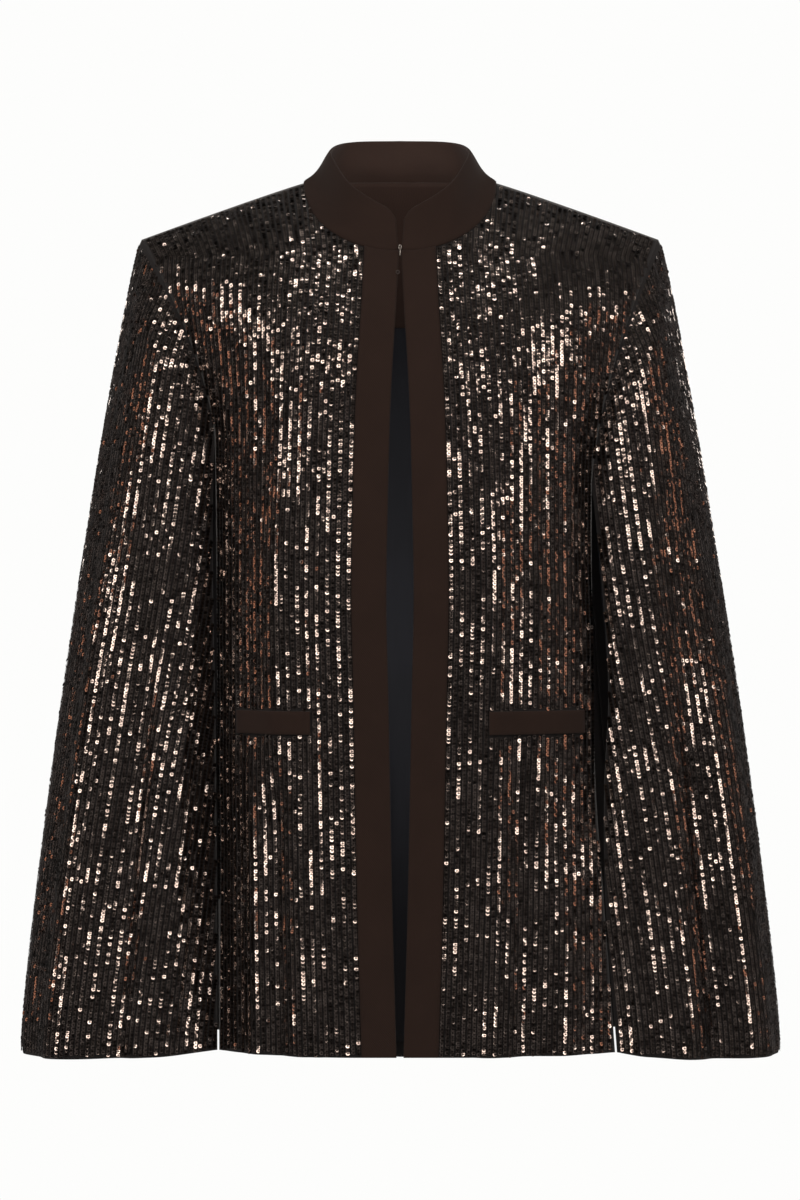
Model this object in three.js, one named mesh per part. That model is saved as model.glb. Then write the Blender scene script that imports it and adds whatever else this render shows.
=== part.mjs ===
import * as THREE from 'three';

// Cape blazer, filled out as worn, in millimetres. The front faces -Y, +X is the wearer's left,
// and z = 0 is the height of the side neck points.

// Driving dimensions
const SHOULDER_WIDTH = 430;
const SHOULDER_DROP = 47;
const SHOULDER_SEAM_BACK = 3;
const NECK_WIDTH = 158;
const NECK_FRONT_DEPTH = 80;
const NECK_BACK_DEPTH = 64;
const NECK_FRONT_SLOPE = 0.8;
const NECK_BACK_RISE = 8;
const BAND_WIDTH = 28;
const HEM_Z = -713;
const SLEEVE_HEM_DROP = 8;
const BACK_HEM_DROP = 29;
const SLEEVE_OUTSET = 10.5;
const COLLAR_GAP = 1.7;
const COLLAR_CORNER = 12;
const COLLAR_CORNER_DROP = 0.4;
const SLIT_TURN = 0.4;
const NECK_SEAM_TILT = 0.7;
const NECK_SOFTENING = 110;
const SOFTEST = 30;
const CENTRE_ROUNDING = 1.7;
const NECK_ROUNDING = 3;
const TIP_ROUNDING = 5;
const CAP_FULLNESS = 12;
const LINING_END = 0.975;

// Thickness of each cloth wall
const CLOTH = 2;
const BAND_CLOTH = 2.6;
const COLLAR_CLOTH = 2.6;
const WELT_CLOTH = 1.8;
const LINING_CLOTH = 1;

// Clearances: between seams, under the collar and the welts, and inside the cloth
const SEAM = 0.3;
const COLLAR_LIFT = 1.3;
const WELT_LIFT = 0.3;
const LINING_INSET = CLOTH / 2 + SEAM;

// Grid counts, and how closely the rows crowd at the shoulder
const ARMHOLE_ROWS = 10;
const SLEEVE_ROWS = 12;
const ROWS_ABOVE_WELT = 5;
const ROWS_BELOW_WELT = 6;
const FACING_ROWS = 6;
const COLLAR_ROWS = 3;
const NECK_FRONT_COLUMNS = 5;
const NECK_BACK_COLUMNS = 5;
const SHOULDER_COLUMNS = 5;
const BAND_COLUMNS = 2;
const WELT_COLUMNS = 5;
const ROW_CROWDING = 1.25;

// Half of the opening between the two bands
const CENTRE_GAP = [
  { z: -66, half: 1.0 },
  { z: -106, half: 3.0 },
  { z: -186, half: 7.4 },
  { z: -258, half: 9.4 },
  { z: -347, half: 10.8 },
  { z: -427, half: 9.2 },
  { z: -588, half: 6.2 },
  { z: HEM_Z, half: 2.8 },
];

// How far the body stands forward at its front centre, and backward at its back centre
const BODY_DEPTH = [
  { z: -221, front: 126, back: 112 },
  { z: -300, front: 127, back: 107 },
  { z: -400, front: 122, back: 102 },
  { z: -560, front: 119, back: 108 },
  { z: HEM_Z, front: 118, back: 118 },
];

// Each side: its underarm, the front's free edge with the gap to the sleeve beside it, its folds
// (columns run across a piece from 0 to 1), and its pocket welt
const SIDES = {
  right: {
    sign: -1,
    slit: [
      { z: -221, x: 151, depth: 58, gap: 0.6 },
      { z: -300, x: 150, depth: 56, gap: 3.2 },
      { z: -440, x: 149, depth: 54, gap: 2 },
      { z: -588, x: 148, depth: 58, gap: 1.4 },
      { z: HEM_Z, x: 147, depth: 66, gap: 1.6 },
    ],
    frontFolds: [
      { column: 0.52, hemColumn: 0.6, from: -200, to: -520, width: 0.11, height: 5 },
      { column: 0.72, hemColumn: 0.74, from: -420, to: -900, width: 0.08, height: 5 },
      { column: 0.45, hemColumn: 0.42, from: -430, to: -900, width: 0.08, height: 4 },
    ],
    sleeveFolds: [
      { column: 0.36, hemColumn: 0.34, from: 0.15, width: 0.04, height: 8 },
      { column: 0.24, hemColumn: 0.23, from: 0.3, width: 0.04, height: -9 },
      { column: 0.12, hemColumn: 0.12, from: 0.25, width: 0.04, height: 6 },
      { column: 0.66, hemColumn: 0.68, from: 0.2, width: 0.045, height: 8 },
      { column: 0.8, hemColumn: 0.82, from: 0.3, width: 0.045, height: -7 },
    ],
    welt: { from: 0.307, to: 0.845, top: -436, bottom: -455 },
  },
  left: {
    sign: 1,
    slit: [
      { z: -258, x: 156, depth: 66, gap: 0.6 },
      { z: -330, x: 156, depth: 66, gap: 8 },
      { z: -420, x: 157, depth: 68, gap: 12.5 },
      { z: -500, x: 159, depth: 70, gap: 7 },
      { z: -588, x: 165, depth: 76, gap: 1.6 },
      { z: HEM_Z, x: 174, depth: 82, gap: 1.6 },
    ],
    frontFolds: [
      { column: 0.3, hemColumn: 0.3, from: -200, to: -900, width: 0.1, height: 5 },
      { column: 0.78, hemColumn: 0.72, from: -520, to: -900, width: 0.1, height: 5 },
      { column: 0.5, hemColumn: 0.5, from: -420, to: -900, width: 0.08, height: -3 },
    ],
    sleeveFolds: [
      { column: 0.22, hemColumn: 0.2, from: 0.1, width: 0.04, height: 8 },
      { column: 0.31, hemColumn: 0.3, from: 0.35, width: 0.04, height: -8 },
      { column: 0.4, hemColumn: 0.4, from: 0.3, width: 0.04, height: 5 },
      { column: 0.68, hemColumn: 0.67, from: 0.2, width: 0.045, height: 7 },
      { column: 0.8, hemColumn: 0.8, from: 0.35, width: 0.045, height: -7 },
    ],
    welt: { from: 0.283, to: 0.925, top: -436, bottom: -455 },
  },
};

// The back's side edge below the underarm, where the sleeve is sewn on
const BACK_EDGE = [
  { z: -221, x: 158, depth: 74 },
  { z: -400, x: 168, depth: 78 },
  { z: -560, x: 182, depth: 86 },
  { z: HEM_Z, x: 196, depth: 94 },
];

// Folds down the back, which is -1 at its right edge and 1 at its left
const BACK_FOLDS = [
  { column: -0.62, hemColumn: -0.64, from: -300, to: -900, width: 0.12, height: 7 },
  { column: -0.2, hemColumn: -0.18, from: -380, to: -900, width: 0.12, height: 5 },
  { column: 0.28, hemColumn: 0.3, from: -340, to: -900, width: 0.12, height: 6 },
  { column: 0.7, hemColumn: 0.7, from: -300, to: -900, width: 0.12, height: 7 },
];

// Sleeve hem, from the free front edge (column 0) round to the back seam (column 1)
const SLEEVE_HEM = [
  { column: 0, x: 150, y: -66 },
  { column: 0.11, x: 188, y: -84 },
  { column: 0.23, x: 236, y: -84 },
  { column: 0.36, x: 284, y: -62 },
  { column: 0.46, x: 308, y: -28 },
  { column: 0.54, x: 313, y: 8 },
  { column: 0.64, x: 302, y: 46 },
  { column: 0.78, x: 262, y: 82 },
  { column: 0.9, x: 222, y: 94 },
  { column: 1, x: 196, y: 94 },
];

// Upper edge of the stand collar, by the angle round the neck from the centre front
const COLLAR_RIM = [
  { angle: 0, x: 0, y: -72, z: -32 },
  { angle: 20, x: 19, y: -67, z: -23 },
  { angle: 42, x: 40, y: -50, z: -7 },
  { angle: 66, x: 53, y: -20, z: 14 },
  { angle: 90, x: 57, y: 6, z: 28 },
  { angle: 130, x: 42, y: 42, z: 39 },
  { angle: 180, x: 0, y: 56, z: 42 },
];

// Wire fastening at the foot of the collar, and the thread loop below it
const WIRE = 0.4;
const WIRE_SIDES = 8;
const EYE = { y: -82.5, z: -61.5, radius: 1.05, stretch: 1.6 };
const HOOK_DEPTH = 1.5;
const THREAD_LOOP = { level: 0.118, radius: 1.3, wire: 0.5, stand: 0.9 };

const sequinCloth = { color: 0x3b302c, roughness: 0.35, metalness: 0.6 };
const brownTwill = { color: 0x2b201c, roughness: 0.8, metalness: 0 };
const liningSatin = { color: 0x15171c, roughness: 0.45, metalness: 0 };
const steelWire = { color: 0xa8a39c, roughness: 0.3, metalness: 1 };
const blackThread = { color: 0x1c1614, roughness: 0.85, metalness: 0 };

const mix = (a, b, t) => a + (b - a) * t;
const clamp01 = (t) => Math.min(1, Math.max(0, t));
const smooth = (t) => clamp01(t) ** 2 * (3 - 2 * clamp01(t));

// Reads a table's column at a place along its key, as a smooth curve through the rows
function read(table, key, place, column) {
  const rising = Math.sign(table[table.length - 1][key] - table[0][key]);
  const at = table.map((row) => row[key] * rising);
  const value = table.map((row) => row[column]);
  const last = table.length - 1;
  const here = Math.min(at[last], Math.max(at[0], place * rising));
  let i = 0;
  while (i < last - 1 && here > at[i + 1]) i += 1;
  const slopeAt = (k) => {
    const low = Math.max(0, k - 1);
    const high = Math.min(last, k + 1);
    return (value[high] - value[low]) / (at[high] - at[low]);
  };
  const span = at[i + 1] - at[i];
  const t = (here - at[i]) / span;
  const ease = t * t * (3 - 2 * t);
  const bend = t * (1 - t) * span * ((1 - t) * slopeAt(i) - t * slopeAt(i + 1));
  return mix(value[i], value[i + 1], ease) + bend;
}

// Places between the given stops, with a count of even steps for each stretch
function stations(stops, counts) {
  const list = [stops[0]];
  counts.forEach((count, i) => {
    for (let k = 1; k <= count; k += 1) list.push(mix(stops[i], stops[i + 1], k / count));
  });
  return list;
}

// The seam along the top of the shoulder, at a distance x from the centre
function shoulderPoint(x) {
  const out = (x - NECK_WIDTH / 2) / ((SHOULDER_WIDTH - NECK_WIDTH) / 2);
  return { x, y: SHOULDER_SEAM_BACK * out, z: -SHOULDER_DROP * out ** 1.05 };
}

// The neck seam, at an angle from the centre front (0) to the centre back (180)
function neckPoint(angle) {
  const turn = THREE.MathUtils.degToRad(angle);
  const x = (NECK_WIDTH / 2) * Math.sin(turn);
  const forward = Math.cos(turn);
  const y = -(forward > 0 ? NECK_FRONT_DEPTH : NECK_BACK_DEPTH) * forward;
  return { x, y, z: forward > 0 ? NECK_FRONT_SLOPE * y : -NECK_BACK_RISE * forward };
}

// The upper edge of the front or the back: the neck seam, then the shoulder seam. Below the seam
// the neck's half ellipse is averaged over a width that grows with the level, so that the cloth
// turns the corner between neck and shoulder without a crease.
function topEdge(x, isFront, level = 0) {
  const soft = 0.0001 + Math.min(NECK_SOFTENING * clamp01(level), SOFTEST);
  const ellipseArea = (at) => {
    const share = THREE.MathUtils.clamp((2 * at) / NECK_WIDTH, -1, 1);
    return (NECK_WIDTH / 4) * (share * Math.sqrt(1 - share ** 2) + Math.asin(share));
  };
  const reach = (ellipseArea(x + soft) - ellipseArea(x - soft)) / (2 * soft);
  const centre = neckPoint(isFront ? 0 : 180);
  const shoulder = shoulderPoint(Math.max(x, NECK_WIDTH / 2));
  return { y: centre.y * reach + shoulder.y, z: centre.z * reach + shoulder.z };
}

// A panel's depth at a height z: from its upper edge out to the depth at the underarm
function drape(topX, level, z, isFront, depth, underarmZ) {
  const top = topEdge(topX, isFront, level);
  const share = roundedShare(Math.max(0, top.z - z) / (top.z - underarmZ), topX);
  return mix(top.y, depth, share);
}

// The armhole's distance from the centre, from the shoulder tip (level 0) to the underarm (1)
function armholeX(level, underarmX) {
  return mix(underarmX, SHOULDER_WIDTH / 2, (1 - Math.min(1, level)) ** 1.6);
}

// Height of the folds at a column and a height z; each fades in below its upper end
function foldHeight(folds, column, z) {
  return folds.reduce((sum, fold) => {
    const run = smooth((fold.from - z) / 120) * smooth((z - fold.to) / 80);
    const centre = mix(fold.column, fold.hemColumn, clamp01(z / HEM_Z));
    return sum + fold.height * run * Math.exp(-(((column - centre) / fold.width) ** 2));
  }, 0);
}

// How the body leaves its upper edge: softly at the centre, fuller over the padded shoulder
function roundedShare(level, topX) {
  const toNeck = clamp01((2 * topX) / NECK_WIDTH);
  const toTip = clamp01((2 * topX - NECK_WIDTH) / (SHOULDER_WIDTH - NECK_WIDTH));
  const power = mix(CENTRE_ROUNDING, NECK_ROUNDING, toNeck) + (TIP_ROUNDING - NECK_ROUNDING) * toTip;
  return 1 - (1 - Math.min(1, level)) ** power;
}

// Height z at a level: 0 is the upper edge, 1 the underarm and 2 the hem
function levelZ(level, topZ, underarmZ, hemZ = HEM_Z) {
  return level < 1 ? mix(topZ, underarmZ, level) : mix(underarmZ, hemZ, level - 1);
}

// A point on a front. Column -1 is the band's inner edge, 0 the band's seam, 1 the side edge.
function frontPoint(side, column, level) {
  const bandTop = CENTRE_GAP[0].half + BAND_WIDTH;
  const inBand = Math.min(0, column) * BAND_WIDTH;
  const inFront = Math.max(0, column);
  const topX = mix(bandTop, SHOULDER_WIDTH / 2, inFront) + inBand;
  const top = topEdge(topX, true);
  const underarm = side.slit[0];
  const z = levelZ(level, top.z, underarm.z);
  const bandSeam = read(CENTRE_GAP, 'z', z, 'half') + BAND_WIDTH;
  const edgeX = level < 1 ? armholeX(level, underarm.x) : read(side.slit, 'z', z, 'x');
  const lowZ = Math.min(z, underarm.z);
  const centreDepth = read(BODY_DEPTH, 'z', lowZ, 'front');
  const edgeDepth = read(side.slit, 'z', lowZ, 'depth');
  const depth = mix(centreDepth, edgeDepth, inFront ** 2.2);
  const fold = foldHeight(side.frontFolds, inFront, z);
  const y = drape(topX, level, z, true, -depth, underarm.z) - fold;
  return new THREE.Vector3(side.sign * (mix(bandSeam, edgeX, inFront) + inBand), y, z);
}

// A point on the back, which is -1 at its right side edge and 1 at its left
function backPoint(column, level) {
  const out = Math.abs(column);
  const topX = (out * SHOULDER_WIDTH) / 2;
  const top = topEdge(topX, false);
  const underarm = BACK_EDGE[0];
  const hemZ = HEM_Z - BACK_HEM_DROP * (1 - column ** 2) ** 2;
  const z = levelZ(level, top.z, underarm.z, hemZ);
  const edgeX = level < 1 ? armholeX(level, underarm.x) : read(BACK_EDGE, 'z', z, 'x');
  const centreDepth = read(BODY_DEPTH, 'z', z, 'back');
  const depth = mix(centreDepth, read(BACK_EDGE, 'z', z, 'depth'), out ** 2.4);
  const y = drape(topX, level, z, false, depth, underarm.z) + foldHeight(BACK_FOLDS, column, z);
  return new THREE.Vector3(column * edgeX, y, z);
}

// A point on a sleeve. Column 0 is its free front edge, 0.5 the outer line and 1 the back seam;
// fall is 0 at the armhole and 1 at the hem. It hangs in straight lines from the armhole to the
// hem, stands out a little on the way, and follows the slit and the back seam at its two edges.
function sleevePoint(side, column, level, fall) {
  const seam = column > 0.5 ? backPoint(side.sign, level) : frontPoint(side, 1, level);
  const hang = (place, start) => {
    const hem = new THREE.Vector3(
      side.sign * read(SLEEVE_HEM, 'column', place, 'x'),
      read(SLEEVE_HEM, 'column', place, 'y'),
      HEM_Z - SLEEVE_HEM_DROP * Math.sin(Math.PI * place),
    );
    return start.clone().lerp(hem, fall);
  };
  const point = hang(column, seam);
  const slitZ = mix(side.slit[0].z, HEM_Z, fall);
  const slitX = read(side.slit, 'z', slitZ, 'x') + read(side.slit, 'z', slitZ, 'gap');
  const frontEdge = new THREE.Vector3(side.sign * slitX, -read(side.slit, 'z', slitZ, 'depth'), slitZ);
  const backEdge = backPoint(side.sign, 1 + fall);
  const nearFront = clamp01(1 - column / 0.3) ** 2;
  const nearBack = clamp01(1 - (1 - column) / 0.3) ** 2;
  point.addScaledVector(frontEdge.sub(hang(0, frontPoint(side, 1, 1))), nearFront);
  point.addScaledVector(backEdge.sub(hang(1, backPoint(side.sign, 1))), nearBack);
  const outset = SLEEVE_OUTSET * Math.sqrt(Math.sin(Math.PI * fall)) * Math.sin(Math.PI * column) ** 2;
  const fold = side.sleeveFolds.reduce((sum, { column: top, hemColumn, from, width, height }) => {
    const centre = mix(top, hemColumn, fall);
    return sum + height * smooth((fall - from) / 0.35) * Math.exp(-(((column - centre) / width) ** 2));
  }, 0);
  const capRun = smooth(fall / 0.06) * (1 - smooth((fall - 0.06) / 0.4));
  const full = fold + CAP_FULLNESS * capRun * Math.sin(2 * Math.PI * column) ** 2;
  const turn = Math.PI * (column - 0.5);
  point.x += side.sign * (outset + full * Math.cos(turn));
  point.y += full * Math.sin(turn);
  return point;
}

// A point on the collar: up is 0 at the neck seam and 1 at the upper edge. The front corners
// are rounded off over COLLAR_CORNER degrees.
function collarPoint(angle, up) {
  const turn = Math.abs(angle);
  const side = Math.sign(angle);
  const foot = neckPoint(turn);
  const base = new THREE.Vector3(side * foot.x, foot.y, foot.z);
  const rim = new THREE.Vector3(
    side * read(COLLAR_RIM, 'angle', turn, 'x'),
    read(COLLAR_RIM, 'angle', turn, 'y'),
    read(COLLAR_RIM, 'angle', turn, 'z'),
  );
  const fromEnd = 1 - clamp01(turn / COLLAR_CORNER);
  const height = 1 - COLLAR_CORNER_DROP * (1 - Math.sqrt(1 - fromEnd ** 2));
  const lift = rim.clone().sub(base).setLength(COLLAR_LIFT);
  return base.add(lift).lerp(rim, up * height);
}

// A sheet is a grid of points, each with the direction that faces out of the garment
function sheet(rows) {
  const within = (list, k) => list[Math.min(list.length - 1, Math.max(0, k))];
  const pick = (i, j) => within(within(rows, i), j);
  const normals = rows.map((row, i) => row.map((_, j) => {
    const across = pick(i, j + 1).clone().sub(pick(i, j - 1));
    const down = pick(i + 1, j).clone().sub(pick(i - 1, j));
    return across.cross(down).normalize();
  }));
  const middle = { i: rows.length >> 1, j: rows[0].length >> 1 };
  const centre = rows[middle.i][middle.j];
  const facing = normals[middle.i][middle.j].dot(new THREE.Vector3(centre.x, centre.y, 0));
  if (facing < 0) normals.forEach((row) => row.forEach((normal) => normal.negate()));
  return { rows, normals };
}

// Lets two sheets that meet at a seam face the same way there; each cell is [row, column]
function matchSeam(first, firstCells, second, secondCells) {
  firstCells.forEach(([i, j], k) => {
    const [m, n] = secondCells[k];
    const shared = first.normals[i][j].clone().add(second.normals[m][n]).normalize();
    first.normals[i][j].copy(shared);
    second.normals[m][n].copy(shared);
  });
}

// Draws the points of an edge back from its seam, towards the next points of the sheet
function drawBack(piece, cells, step, distance) {
  cells.forEach(([i, j]) => {
    const point = piece.rows[i][j];
    const inner = piece.rows[i + step[0]][j + step[1]];
    point.add(inner.clone().sub(point).setLength(distance));
  });
}

// Part of a sheet, from one row and column to another
function slice(piece, [rowFrom, rowTo], [columnFrom, columnTo]) {
  const copy = (grid) => grid.slice(rowFrom, rowTo + 1).map((row) => (
    row.slice(columnFrom, columnTo + 1).map((vector) => vector.clone())
  ));
  return { rows: copy(piece.rows), normals: copy(piece.normals) };
}

// A closed wall of cloth between two distances from a sheet, measured outwards
function wall(name, piece, look, from, to) {
  const height = piece.rows.length;
  const width = piece.rows[0].length;
  const positions = [];
  [to, from].forEach((distance) => {
    piece.rows.forEach((row, i) => row.forEach((point, j) => {
      const placed = point.clone().addScaledVector(piece.normals[i][j], distance);
      positions.push(placed.x, placed.y, placed.z);
    }));
  });
  const outer = (i, j) => i * width + j;
  const inner = (i, j) => outer(i, j) + width * height;
  const faces = [];
  const quad = (a, b, c, d) => faces.push(a, b, c, a, c, d);
  for (let i = 0; i < height - 1; i += 1) {
    for (let j = 0; j < width - 1; j += 1) {
      quad(outer(i, j), outer(i, j + 1), outer(i + 1, j + 1), outer(i + 1, j));
      quad(inner(i, j), inner(i + 1, j), inner(i + 1, j + 1), inner(i, j + 1));
    }
    quad(outer(i, 0), outer(i + 1, 0), inner(i + 1, 0), inner(i, 0));
    quad(outer(i + 1, width - 1), outer(i, width - 1), inner(i, width - 1), inner(i + 1, width - 1));
  }
  for (let j = 0; j < width - 1; j += 1) {
    quad(outer(0, j + 1), outer(0, j), inner(0, j), inner(0, j + 1));
    quad(outer(height - 1, j), outer(height - 1, j + 1), inner(height - 1, j + 1), inner(height - 1, j));
  }
  const corner = (k) => new THREE.Vector3().fromArray(positions, 3 * faces[k]);
  let volume = 0;
  for (let k = 0; k < faces.length; k += 3) volume += corner(k).dot(corner(k + 1).cross(corner(k + 2)));
  const geometry = new THREE.BufferGeometry();
  geometry.setAttribute('position', new THREE.Float32BufferAttribute(positions, 3));
  geometry.setIndex(volume > 0 ? faces : faces.reverse());
  return pieceOf(name, geometry, look);
}

function pieceOf(name, geometry, look) {
  const mesh = new THREE.Mesh(geometry, new THREE.MeshStandardMaterial(look));
  mesh.name = name;
  return mesh;
}

// Round wire along a smooth path through the given points
function wire(name, points, radius, look) {
  const circle = new THREE.Shape();
  circle.absarc(0, 0, radius, 0, 2 * Math.PI);
  const path = new THREE.CatmullRomCurve3(points.map((p) => new THREE.Vector3(...p)));
  const options = { steps: 5 * points.length, curveSegments: WIRE_SIDES / 2, extrudePath: path };
  return pieceOf(name, new THREE.ExtrudeGeometry(circle, options), look);
}

// Closed ring of wire that stands upright across the front
function ring(name, { x = 0, y, z, radius, stretch = 1, wire: thickness = WIRE }, look) {
  const geometry = new THREE.TorusGeometry(radius, thickness, WIRE_SIDES, 16);
  geometry.scale(1, stretch, 1);
  geometry.rotateX(Math.PI / 2);
  const mesh = pieceOf(name, geometry, look);
  mesh.position.set(x, y, z);
  return mesh;
}

// A row or a column of a sheet, as a list of [row, column] cells
function rowCells(row, from, to) {
  const step = Math.sign(to - from);
  return Array.from({ length: Math.abs(to - from) + 1 }, (_, k) => [row, from + k * step]);
}

function columnCells(column, from, to) {
  return rowCells(column, from, to).map(([fixed, moving]) => [moving, fixed]);
}

// Sets one facing direction along an edge, so that its cut face lies square to it
function faceEdge(piece, cells, direction) {
  const facing = new THREE.Vector3(...direction).normalize();
  cells.forEach(([i, j]) => piece.normals[i][j].copy(facing));
}

// Faces the cells of a neck edge outwards and upwards, the same way for all that meet there
function faceNeck(piece, cells) {
  cells.forEach(([i, j]) => {
    const point = piece.rows[i][j];
    const round = Math.hypot(point.x, point.y);
    faceEdge(piece, [[i, j]], [point.x / round, point.y / round, NECK_SEAM_TILT]);
  });
}

// The back, from the right side edge to the left
const armholeLevels = stations([0, 1], [ARMHOLE_ROWS]).map((t) => t ** ROW_CROWDING);
const sleeveFalls = stations([0, LINING_END, 1], [SLEEVE_ROWS - 1, 1]);
const backLevels = [...armholeLevels, ...sleeveFalls.slice(1).map((fall) => 1 + fall)];
const neckX = (angle) => (NECK_WIDTH / 2) * Math.sin(THREE.MathUtils.degToRad(angle));
const backNeckAngles = stations([180, 90], [NECK_BACK_COLUMNS]);
const halfBack = [
  ...backNeckAngles.map((angle) => (2 * neckX(angle)) / SHOULDER_WIDTH),
  ...stations([NECK_WIDTH / SHOULDER_WIDTH, 1], [SHOULDER_COLUMNS]).slice(1),
];
const backColumns = [...halfBack.slice(1).reverse().map((column) => -column), ...halfBack];
const backMiddle = halfBack.length - 1;
const back = sheet(backLevels.map((level) => backColumns.map((column) => backPoint(column, level))));
const lastBackRow = backLevels.length - 1;

// The band's seam at the neck, and the angles round the front neck where its columns lie
const bandTopX = CENTRE_GAP[0].half + BAND_WIDTH;
const angleAt = (x) => THREE.MathUtils.radToDeg(Math.asin((2 * x) / NECK_WIDTH));
const frontNeckAngles = stations([angleAt(bandTopX), 90], [NECK_FRONT_COLUMNS]);
const frontColumnAt = (x) => (x - bandTopX) / (SHOULDER_WIDTH / 2 - bandTopX);

// One side's front, band and sleeve
function sideSheets(side) {
  const { from, to, top, bottom } = side.welt;
  const levelOf = (z) => 1 + (side.slit[0].z - z) / (side.slit[0].z - HEM_Z);
  const lower = stations([1, levelOf(top), levelOf(bottom), 2], [ROWS_ABOVE_WELT, 1, ROWS_BELOW_WELT]);
  const levels = [...armholeLevels, ...lower.slice(1)];
  const neckColumns = frontNeckAngles.map((angle) => frontColumnAt(neckX(angle)));
  const columns = [...neckColumns, ...stations([from, to, 1], [WELT_COLUMNS, 2])];
  const grid = (list) => sheet(levels.map((level) => list.map((column) => frontPoint(side, column, level))));
  const sleeve = sheet(sleeveFalls.map((fall) => (
    stations([0, 1], [2 * ARMHOLE_ROWS]).map((column, j) => (
      sleevePoint(side, column, armholeLevels[Math.abs(j - ARMHOLE_ROWS)], fall)
    ))
  )));
  return { front: grid(columns), band: grid(stations([-1, 0], [BAND_COLUMNS])), sleeve };
}

// Sews one side's pieces to each other and to the back
function sew(side, { front, band, sleeve }) {
  const lastRow = front.rows.length - 1;
  const edge = front.rows[0].length - 1;
  const backEdge = backMiddle * (1 + side.sign);
  const shoulderTip = ARMHOLE_ROWS;
  const lastColumn = 2 * ARMHOLE_ROWS;
  const shoulderUp = [side.sign * SHOULDER_DROP, 0, (SHOULDER_WIDTH - NECK_WIDTH) / 2];
  const backNeckEnd = backMiddle + side.sign * NECK_BACK_COLUMNS;
  const backShoulder = rowCells(0, backNeckEnd, backEdge);
  const frontShoulder = rowCells(0, NECK_FRONT_COLUMNS, edge);
  faceEdge(front, frontShoulder, shoulderUp);
  faceEdge(back, backShoulder, shoulderUp);
  matchSeam(front, columnCells(edge, 0, ARMHOLE_ROWS), sleeve, rowCells(0, shoulderTip, 0));
  matchSeam(back, columnCells(backEdge, 0, ARMHOLE_ROWS), sleeve, rowCells(0, shoulderTip, lastColumn));
  const backSeam = columnCells(backEdge, ARMHOLE_ROWS, lastBackRow);
  matchSeam(back, backSeam, sleeve, columnCells(lastColumn, 0, SLEEVE_ROWS));
  matchSeam(front, columnCells(0, 0, lastRow), band, columnCells(BAND_COLUMNS, 0, lastRow));
  faceNeck(front, rowCells(0, 0, NECK_FRONT_COLUMNS - 1));
  faceNeck(band, rowCells(0, 0, BAND_COLUMNS));
  faceNeck(back, rowCells(0, backMiddle, backNeckEnd - side.sign));
  const slitFacing = [side.sign * SLIT_TURN, -1, 0];
  faceEdge(front, columnCells(edge, ARMHOLE_ROWS, lastRow), slitFacing);
  faceEdge(sleeve, columnCells(0, 0, SLEEVE_ROWS), slitFacing);
  drawBack(front, frontShoulder, [1, 0], SEAM / 2);
  drawBack(back, backShoulder, [1, 0], SEAM / 2);
  drawBack(front, columnCells(edge, 0, lastRow), [0, -1], SEAM / 2);
  drawBack(back, columnCells(backEdge, 0, lastBackRow), [0, -side.sign], SEAM / 2);
  drawBack(sleeve, rowCells(0, 0, lastColumn), [1, 0], SEAM / 2);
  drawBack(sleeve, columnCells(lastColumn, 1, SLEEVE_ROWS), [0, -1], SEAM / 2);
  drawBack(front, columnCells(0, 0, lastRow), [0, 1], SEAM / 2);
  drawBack(band, columnCells(BAND_COLUMNS, 0, lastRow), [0, -1], SEAM / 2);
}

const jacket = new THREE.Group();

Object.entries(SIDES).forEach(([hand, side]) => {
  const pieces = sideSheets(side);
  const { front, band, sleeve } = pieces;
  sew(side, pieces);
  const weltRow = ARMHOLE_ROWS + ROWS_ABOVE_WELT;
  const weltBase = CLOTH / 2 + WELT_LIFT;
  const weltStart = NECK_FRONT_COLUMNS + 1;
  const welt = slice(front, [weltRow, weltRow + 1], [weltStart, weltStart + WELT_COLUMNS]);
  const sleeveBack = slice(sleeve, [1, SLEEVE_ROWS - 1], [ARMHOLE_ROWS + 2, 2 * ARMHOLE_ROWS - 1]);
  jacket.add(
    wall(`front_${hand}`, front, sequinCloth, -CLOTH / 2, CLOTH / 2),
    wall(`sleeve_${hand}`, sleeve, sequinCloth, -CLOTH / 2, CLOTH / 2),
    wall(`band_${hand}`, band, brownTwill, -BAND_CLOTH / 2, BAND_CLOTH / 2),
    wall(`welt_${hand}`, welt, brownTwill, weltBase, weltBase + WELT_CLOTH),
    wall(`lining_sleeve_${hand}`, sleeveBack, liningSatin, -LINING_INSET - LINING_CLOTH, -LINING_INSET),
  );
});

const facingColumns = [backMiddle - NECK_BACK_COLUMNS, backMiddle + NECK_BACK_COLUMNS];
const facing = slice(back, [0, FACING_ROWS], facingColumns);
const backLining = slice(back, [FACING_ROWS, lastBackRow - 1], [3, 2 * backMiddle - 3]);
drawBack(backLining, rowCells(0, 0, backLining.rows[0].length - 1), [1, 0], LINING_CLOTH);
jacket.add(
  wall('back', back, sequinCloth, -CLOTH / 2, CLOTH / 2),
  wall('neck_facing', facing, brownTwill, -LINING_INSET - LINING_CLOTH, -LINING_INSET),
  wall('lining_back', backLining, liningSatin, -LINING_INSET - LINING_CLOTH, -LINING_INSET),
);

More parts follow.
